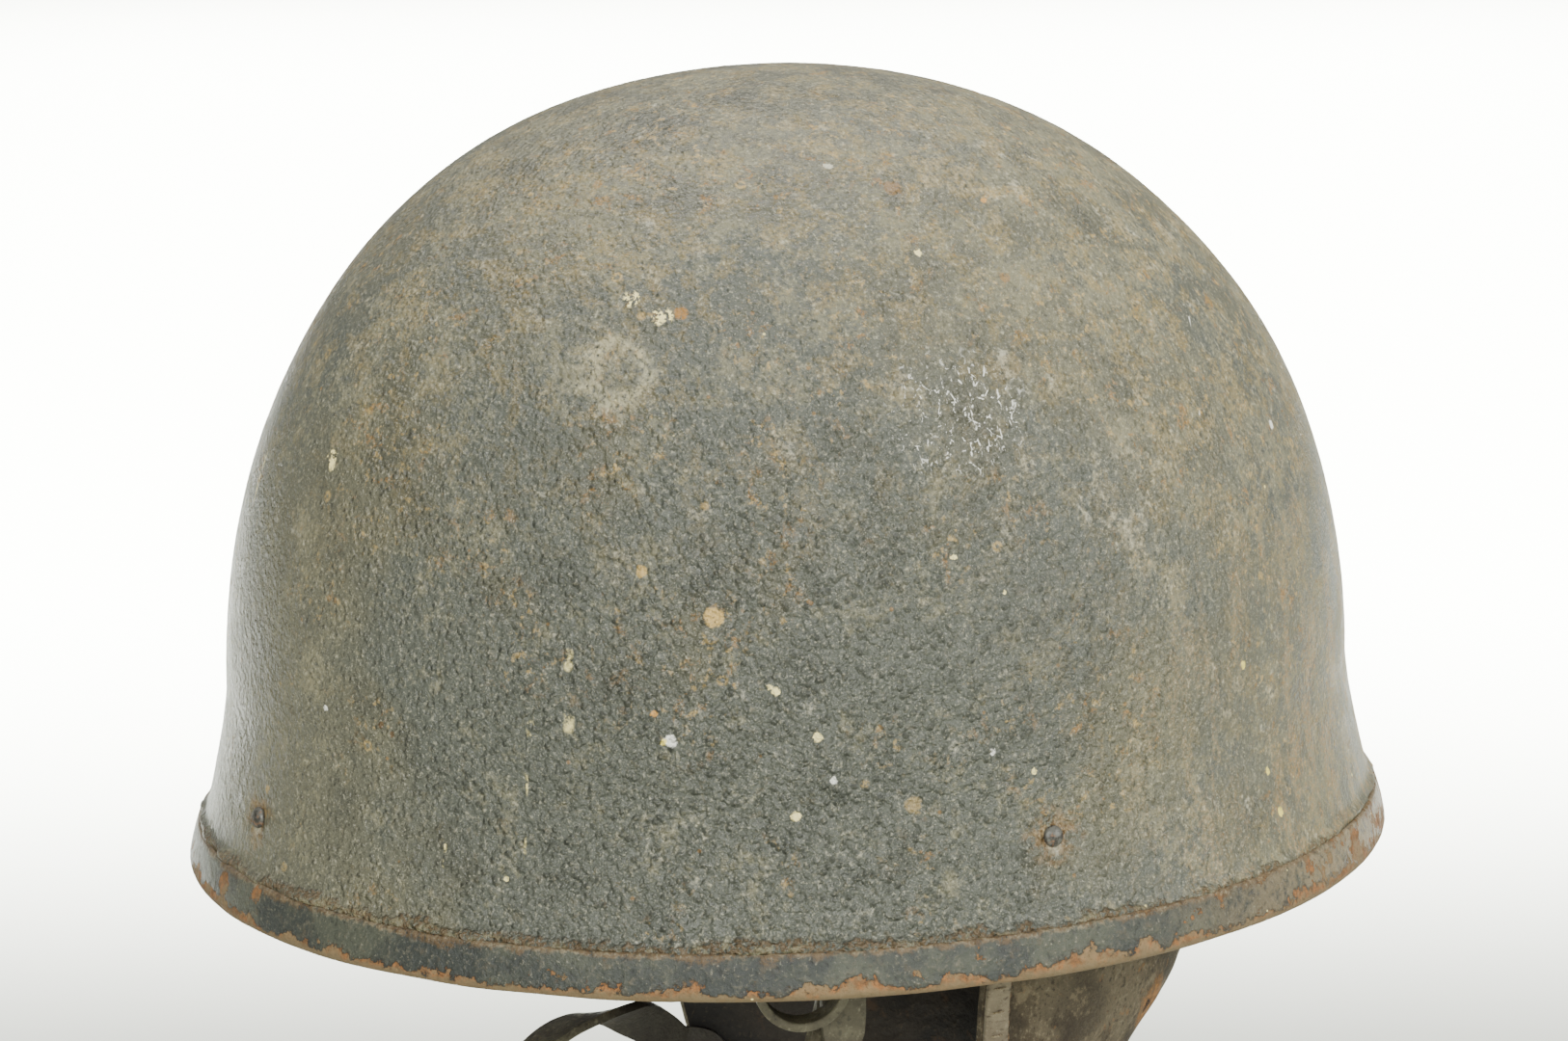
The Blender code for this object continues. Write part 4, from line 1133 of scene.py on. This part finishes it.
def makeCurtain(outside, inside):
    arounds = []
    for column in range(curtain["columns"] + 1):
        share = 2 * column / curtain["columns"] - 1
        arounds.append(-share * (1 + curtain["crowding"] * (1 - share * share)))
    depths = [-1 + row / curtain["lapRows"] for row in range(curtain["lapRows"])]
    depths += [row / curtain["rows"] for row in range(curtain["rows"] + 1)]
    rows = []
    for depth in depths:
        line = []
        for around in arounds:
            real = depth * curtainReach(around) if depth > 0 else depth
            relief = curtainRelief(real, curtainPoint(around, real))
            line.append(curtainPoint(around, real, relief))
        rows.append(line)
    made = addPiece("neckCurtainLeather", gridMesh("neckCurtainLeather", rows), [outside, inside],
                    ["neck_curtain"])
    thicken(made, curtain["thickness"], curtain["roundEdge"])
    # the inner faces take the second material, the nearly black leather with painted shade
    made.modifiers["wall"].material_offset = 1
    return made


def fromEdge(sign, depth, distance):
    # The place round the curtain that lies a distance in from a front edge.
    step = 0.02
    edge, beside = curtainPoint(sign, depth), curtainPoint(sign * (1 - step), depth)
    return sign * (1 - distance * step / (beside - edge).length)


def makeHems(material):
    # A folded leather strip sewn down the outside of each front edge.
    seat = curtain["thickness"] / 2 + shell["gap"] + hem["thickness"] / 2
    for side, sign in frontEdges:
        rows = []
        for row in range(hem["rows"] + 1):
            depth = row / hem["rows"]
            line = []
            for step in range(hem["columns"] + 1):
                share = step / hem["columns"]
                around = fromEdge(sign, depth, hem["width"] * share)
                real = depth * curtainReach(around) * hem["reach"]
                point = curtainPoint(around, real)
                relief = curtainRelief(real, point)
                relief += fuzz(point, hem["crinkleWave"], 6.0) * hem["crinkle"]
                bow = hem["bow"] * math.sin(math.pi * share)
                line.append(curtainPoint(around, real, seat + relief + bow))
            rows.append(line)
        made = addPiece("hemStrip_" + side, gridMesh("hemStrip_" + side, rows), [material],
                        ["hem_" + side])
        thicken(made, hem["thickness"], hem["roundEdge"])


def curtainLeather():
    paint = Paint("curtainLeather", gloss=0.25)
    broad = paint.grain(26.0, 5.0, 0.6)
    middle = paint.grain(7.0, 5.0, 0.64)
    nap = paint.grain(1.3, 4.0, 0.66)
    fine = paint.grain(0.55, 3.0, 0.6)
    mixed = paint.blend(broad.rise(0.42, 0.60), tone(94, 86, 68), tone(74, 66, 51))
    mixed = paint.blend(nap.rise(0.52, 0.70) * 0.7, mixed, tone(126, 117, 94))
    mixed = paint.blend(nap.rise(0.47, 0.34) * 0.75, mixed, tone(48, 41, 32))
    blotch = (middle * 0.6 + broad * 0.4).rise(0.53, 0.62)
    mixed = paint.blend(blotch * nap.rise(0.34, 0.56) * 0.8, mixed, tone(46, 41, 32))
    mixed = paint.blend(middle.rise(0.44, 0.34) * 0.4, mixed, tone(142, 130, 102))
    loose = paint.ragged(5.0, 2.5)
    dark = paint.near((76.0, 32.0, -27.0), 13.0, loose, 0.6)
    mixed = paint.blend(dark * nap.rise(0.34, 0.56) * 0.7, mixed, tone(44, 39, 32))
    stain = paint.near((60.5, 58.5, -33.0), 8.0, loose, 0.35)
    rusty = paint.blend(nap.rise(0.42, 0.58), tone(156, 110, 60), tone(108, 76, 44))
    mixed = paint.blend(stain * middle.rise(0.36, 0.50) * 0.75, mixed, rusty)
    spots = paint.near((62.0, 57.0, -33.5), 2.6, loose, 0.3)
    mixed = paint.blend(spots * nap.rise(0.44, 0.54), mixed, tone(34, 24, 16))
    tinge = paint.grain(4.4, 5.0, 0.7).rise(0.60, 0.70)
    mixed = paint.blend(tinge * 0.5, mixed, tone(132, 92, 50))
    relief = nap * 0.5 + fine * 0.16 + middle * 0.9
    return paint.finish(mixed, 0.78 + nap * 0.2, relief)


# The curtain's inner faces: brown leather painted nearly black, partly its own darker inside and partly
# painted shade for the shadowed hollow of the curtain.
def innerLeatherPaintedShade():
    paint = Paint("innerLeatherPaintedShade")
    broad = paint.grain(22.0, 5.0, 0.6)
    nap = paint.grain(1.2, 4.0, 0.66)
    mixed = paint.blend(broad.rise(0.42, 0.60), tone(46, 39, 30), tone(28, 25, 21))
    mixed = paint.blend(nap.rise(0.54, 0.70) * 0.5, mixed, tone(74, 64, 48))
    mixed = paint.blend(paint.grain(9.0, 5.0, 0.66).rise(0.58, 0.68) * 0.5, mixed, tone(84, 62, 38))
    return paint.finish(mixed, 0.5 + broad * 0.3, nap * 0.4 + paint.grain(5.0) * 0.8)


def hemLeather():
    paint = Paint("hemLeather")
    broad = paint.grain(12.0, 5.0, 0.6)
    nap = paint.grain(1.1, 4.0, 0.66)
    creases = paint.grain(2.4, 4.0, 0.6, stretch=(1.0, 1.0, 2.2))
    mixed = paint.blend(broad.rise(0.42, 0.60), tone(128, 118, 94), tone(104, 94, 74))
    mixed = paint.blend(nap.rise(0.54, 0.70) * 0.5, mixed, tone(156, 146, 120))
    mixed = paint.blend(creases.rise(0.44, 0.32) * 0.7, mixed, tone(56, 46, 34))
    mixed = paint.blend(paint.dots(5.5, 0.5, 0.09) * 0.8, mixed, tone(120, 66, 30))
    return paint.finish(mixed, 0.65 + nap * 0.2, nap * 0.35 + creases * 0.6)


def stitchPlaces(points, lift=1):
    # Pairs of points become a middle, a run and a lift for each thread.
    places = []
    for start, end in points:
        outward = Vector((start.x, start.y, 0)).normalized() * lift
        places.append(((start + end) / 2, end - start, outward))
    return places


def curtainStitches():
    leather = curtain["thickness"] / 2
    strip = leather + shell["gap"] + hem["thickness"]
    beside, over = stitches["hemStitches"], stitches["edgeStitches"]
    for side, sign in frontEdges:
        threads = []
        for step in range(beside["count"]):
            depth = beside["first"] + step * beside["pitch"]
            threads.append([curtainPoint(fromEdge(sign, end, hem["width"] + beside["inset"]),
                                         end * curtainReach(sign * beside["foot"]), leather + threadLift)
                            for end in (depth, depth + beside["run"])])
        stitchRow("hemStitches", stitchPlaces(threads), hemThread, "_" + side)
        threads = []
        for step in range(over["count"]):
            depth = over["first"] + step * over["pitch"]
            real = depth * curtainReach(sign)
            threads.append([curtainPoint(fromEdge(sign, depth, inset), real, strip + lift)
                            for inset, lift in over["ends"]])
        stitchRow("edgeStitches", stitchPlaces(threads), paleThread, "_" + side)
    sewn = stitches["bandStitches"]
    threads = []
    for step in range(sewn["count"]):
        share = sewn["reach"] * (1 - 2 * step / (sewn["count"] - 1))
        threads.append([curtainPoint(around, sewn["depth"], leather + threadLift)
                        for around in (share, share - sewn["run"])])
    stitchRow("bandStitches", stitchPlaces(threads), paleThread)


def sweatBandStitches():
    sewn = stitches["sweatBandStitches"]
    level = band["bottom"] + band["height"] - sewn["below"]
    threads = []
    for step in range(sewn["count"]):
        place = 360 * step / sewn["count"]
        threads.append([bandPoint(turn, level, -threadLift) for turn in (place, place + sewn["run"])])
    stitchRow("sweatBandStitches", stitchPlaces(threads, -1), paleThread)


hemThread = threadPaint("hemThread", (120, 96, 66), (84, 66, 48))
paleThread = threadPaint("paleThread", (138, 126, 98), (100, 88, 66))
hangingLeather = makeCurtain(curtainLeather(), innerLeatherPaintedShade())
makeHems(hemLeather())
curtainStitches()
sweatBandStitches()
print("neck curtain made")


# Chin strap, buckle, tab and keeper

strap = {
    "width": 0.010,
    "thickness": 0.0021,
    "freeEnd": 0.0215,
    "climb": 0.010,
    "drop": 0.111,
    "sewnGap": 0.0010,
    "leanStep": 0.05,
    "rows": 190,
    "tipRows": 14,
    "foldRows": 14,
    "across": 6,
    "roundEdge": 0.0005,
    "sewn": (
        {"round": 0.930, "depth": 0.900},
        {"round": 0.956, "depth": 0.855},
        {"round": 0.985, "depth": 0.800},
    ),
    "route": (
        {"across": -0.972, "along": 0.085, "down": 0.672, "face": (0.00, 0.72, 0.70)},
        {"across": -0.958, "along": 0.025, "down": 0.625, "face": (0.05, 0.70, 0.70)},
        {"across": -0.940, "along": -0.040, "down": 0.588, "face": (0.30, 0.50, 0.80)},
        {"across": -0.915, "along": -0.115, "down": 0.562, "face": (0.80, 0.25, 0.50)},
        {"across": -0.890, "along": -0.207, "down": 0.554, "face": (1.00, 0.00, 0.15)},
        {"across": -0.865, "along": -0.300, "down": 0.568, "face": (1.00, 0.00, 0.00)},
        {"across": -0.835, "along": -0.385, "down": 0.604, "face": (1.00, 0.10, 0.00)},
        {"across": -0.775, "along": -0.480, "down": 0.668, "face": (0.90, 0.50, 0.00)},
        {"across": -0.655, "along": -0.585, "down": 0.780, "face": (0.55, 0.80, 0.00)},
        {"across": -0.450, "along": -0.675, "down": 0.905, "face": (0.20, 1.00, 0.00)},
        {"across": -0.150, "along": -0.720, "down": 0.990, "face": (0.00, 1.00, 0.00)},
        {"across": 0.180, "along": -0.705, "down": 0.985, "face": (0.00, 1.00, 0.00)},
        {"across": 0.480, "along": -0.630, "down": 0.875, "face": (0.00, 1.00, 0.00)},
        {"across": 0.700, "along": -0.515, "down": 0.690, "face": (-0.05, 1.00, 0.00)},
        {"across": 0.820, "along": -0.405, "down": 0.490, "face": (-0.15, 1.00, 0.00)},
        {"across": 0.880, "along": -0.325, "down": 0.300, "face": (-0.25, 1.00, 0.00)},
    ),
    "tip": (
        {"down": 0.00, "width": 1.00},
        {"down": 0.45, "width": 1.00},
        {"down": 0.65, "width": 0.94},
        {"down": 0.83, "width": 0.66},
        {"down": 1.00, "width": 0.20},
    ),
}
buckle = {
    "wire": 0.0011,
    "height": 0.0095,
    "sideRoom": 0.0006,
    "shift": -0.0020,
    "bend": 1.2,  # its corners' radius, in wire radii
    "cornerRows": 6,
    "sides": 14,
    "facet": -2,  # of the head band, counted from the wearer's left; below 0 is forward
}
tab = {
    "thickness": 0.0016,
    "rise": 0.014,
    "hang": 0.0045,
    "outerRows": (1.0, 0.8, 0.6, 0.4, 0.2),  # shares of its full height
    "innerRows": (0.6, 0.8, 1.0),
}
keeper = {
    "radius": 0.0109,
    "drop": 0.0244,
    "width": 0.0068,
    "thickness": 0.0021,
    "facet": -3,
    "foldRows": 24,
    "downRows": (0.33, 0.66),  # shares of the straight sides
    "upRows": (0.33, 0.66, 0.98),
}


def bandFacet(facet):
    # The middle of a facet of the head band's inside, its outward direction and the way round.
    ends = []
    for step in (facet - 0.5, facet + 0.5):
        angle = 2 * math.pi * step / band["facets"]
        ends.append(Vector((band["halfWidth"] * math.cos(angle),
                            band["halfLength"] * math.sin(angle), band["bottom"])))
    around = (ends[1] - ends[0]).normalized()
    return (ends[0] + ends[1]) / 2, Vector((around.y, -around.x, 0)), around


def halfTurn(centre, start, lift, radius, steps):
    return [centre + start * radius * math.cos(math.pi * step / steps)
            + lift * radius * math.sin(math.pi * step / steps) for step in range(steps + 1)]


def bucklePlaces():
    # The middles of the upper and lower bars, the way in and the way round.
    face, outward, around = bandFacet(buckle["facet"])
    reach = shell["gap"] * 2 + tab["thickness"] + buckle["wire"]
    upper = face + around * buckle["shift"] - outward * reach - upward * tab["hang"]
    return upper, upper - upward * buckle["height"], -outward, around


def makeRibbon(name, path, faces, widths, thickness, material, node):
    mesh = gridMesh(name, ribbonRows(path, faces, widths, strap["across"]))
    thicken(addPiece(name, mesh, [material], [node]), thickness, strap["roundEdge"])


def makeTab(material):
    upper, _, inward, around = bucklePlaces()
    radius = buckle["wire"] + shell["gap"] + tab["thickness"] / 2
    bottom = halfTurn(upper, -inward, -upward, radius, strap["foldRows"])
    rise = tab["hang"] + tab["rise"]
    pinch = tab["thickness"] + shell["gap"]
    inner = bottom[0] + inward * pinch
    path = [bottom[0] + upward * rise * share for share in tab["outerRows"]]
    path += bottom
    path += [inner + inward * (radius - pinch / 2) * 0.5 + upward * tab["hang"] * 0.8,
             inner + upward * tab["hang"] * 1.5]  # closes up over the bar
    path += [inner + upward * rise * share for share in tab["innerRows"]]
    makeRibbon("buckleTabLeather", path, [around] * len(path), [strap["width"]] * len(path),
               tab["thickness"], material, "buckle_tab")
    sewn = stitches["tabStitches"]
    places = []
    for step in range(sewn["count"]):
        for side in (-1, 1):
            point = inner + upward * (rise * sewn["start"] + step * sewn["pitch"])
            point += around * side * sewn["apart"] + inward * tab["thickness"] / 2
            places.append((point, upward, inward))
    stitchRow("tabStitches", places, paleThread)


def makeBuckle(material):
    upper, lower, _, around = bucklePlaces()
    middle = (upper + lower) / 2
    bend = buckle["wire"] * buckle["bend"]
    halfAcross = strap["width"] / 2 + buckle["sideRoom"] + buckle["wire"]
    halfUp = (upper - lower).length / 2
    path = []
    for corner, (side, top) in enumerate(((1, 1), (-1, 1), (-1, -1), (1, -1))):
        centre = middle + around * side * (halfAcross - bend) + upward * top * (halfUp - bend)
        for step in range(buckle["cornerRows"] + 1):
            turn = math.pi / 2 * (corner + step / buckle["cornerRows"])
            path.append(centre + around * bend * math.cos(turn) + upward * bend * math.sin(turn))
    facing = around.cross(upward)
    angles = [2 * math.pi * side / buckle["sides"] for side in range(buckle["sides"])]
    rows = []
    for index, point in enumerate(path):
        run = (path[(index + 1) % len(path)] - path[index - 1]).normalized()
        lift = run.cross(facing)
        rows.append([point + (facing * math.cos(angle) + lift * math.sin(angle)) * buckle["wire"]
                     for angle in angles])
    mesh = gridMesh("buckleFrame", rows, wrap=True, close=True)
    addPiece("buckleFrame", mesh, [material], ["strap_buckle"])


def makeChinStrap(material):
    inside = -(curtain["thickness"] / 2 + strap["sewnGap"] + strap["thickness"] / 2)
    sewn = [curtainPoint(-row["round"], row["depth"], inside) for row in strap["sewn"]]
    lean = [(curtainPoint(-row["round"], row["depth"] - strap["leanStep"])
             - curtainPoint(-row["round"], row["depth"] + strap["leanStep"])).normalized()
            for row in strap["sewn"]]
    free = [Vector((row["across"] * band["halfWidth"], row["along"] * band["halfLength"],
                    -row["down"] * strap["drop"])) for row in strap["route"]]
    _, lower, inward, around = bucklePlaces()
    radius = buckle["wire"] + shell["gap"] + strap["thickness"] / 2
    fold = halfTurn(lower, inward, upward, radius, strap["foldRows"])
    spine = [*sewn, *free, fold[0] - upward * strap["climb"], fold[0]]
    faces = lean + [Vector(row["face"]).normalized() for row in strap["route"]] + [around, around]
    path = smoothRoute(spine, strap["rows"])
    sides = smoothRoute(faces, strap["rows"])
    path += fold[1:]
    widths = [strap["width"]] * len(path)
    for step in range(1, strap["tipRows"] + 1):
        down = step / strap["tipRows"]
        path.append(fold[-1] - upward * strap["freeEnd"] * down)
        widths.append(strap["width"] * alongTable(strap["tip"], "down", down, "width"))
    sides += [around] * (len(path) - len(sides))
    makeRibbon("chinStrapLeather", path, sides, widths, strap["thickness"], material, "chin_strap")
    length = sum((after - before).length for before, after in zip(path, path[1:]))
    print("chin strap length, mm:", round(length / mm, 1))


def makeKeeper(material):
    seat, outward, around = bandFacet(keeper["facet"])
    middle = seat + outward * (shell["gap"] + keeper["width"] / 2)
    radius = keeper["radius"] - keeper["thickness"] / 2
    centre = middle - upward * (keeper["drop"] - keeper["radius"])
    path = [middle - around * radius - upward * shell["gap"]]
    drop = (path[0] - centre).dot(upward)
    path += [path[0] - upward * drop * share for share in keeper["downRows"]]
    path += halfTurn(centre, -around, -upward, radius, keeper["foldRows"])
    path += [path[-1] + upward * drop * share for share in keeper["upRows"]]
    makeRibbon("keeperLoop", path, [outward] * len(path), [keeper["width"]] * len(path),
               keeper["thickness"], material, "strap_keeper")


def strapLeather():
    paint = Paint("strapLeather")
    broad = paint.grain(14.0, 5.0, 0.6)
    small = paint.grain(1.7, 4.0, 0.64)
    pores = paint.cells(0.8)
    mixed = paint.blend(broad.rise(0.40, 0.62), tone(98, 94, 72), tone(74, 69, 52))
    mixed = paint.blend(small.rise(0.54, 0.70) * 0.6, mixed, tone(138, 132, 106))
    mixed = paint.blend(small.rise(0.46, 0.34) * 0.6, mixed, tone(46, 40, 30))
    # Painted shade: the strap's far leg, on the wearer's right and back from the front, is darkened
    # nearly to black to stand for the shadow inside the helmet.
    strapPaintedShade = paint.axis("Y").rise(-24.0, -8.0) * paint.axis("X").rise(-30.0, -50.0)
    mixed = paint.blend(strapPaintedShade * 0.85, mixed, tone(32, 26, 20))
    return paint.finish(mixed, 0.5 + broad * 0.25, small * 0.35 + pores * 0.12)


strapLook = strapLeather()
makeTab(strapLook)
makeBuckle(steel)
makeChinStrap(strapLook)
makeKeeper(strapLook)
print("chin strap made")
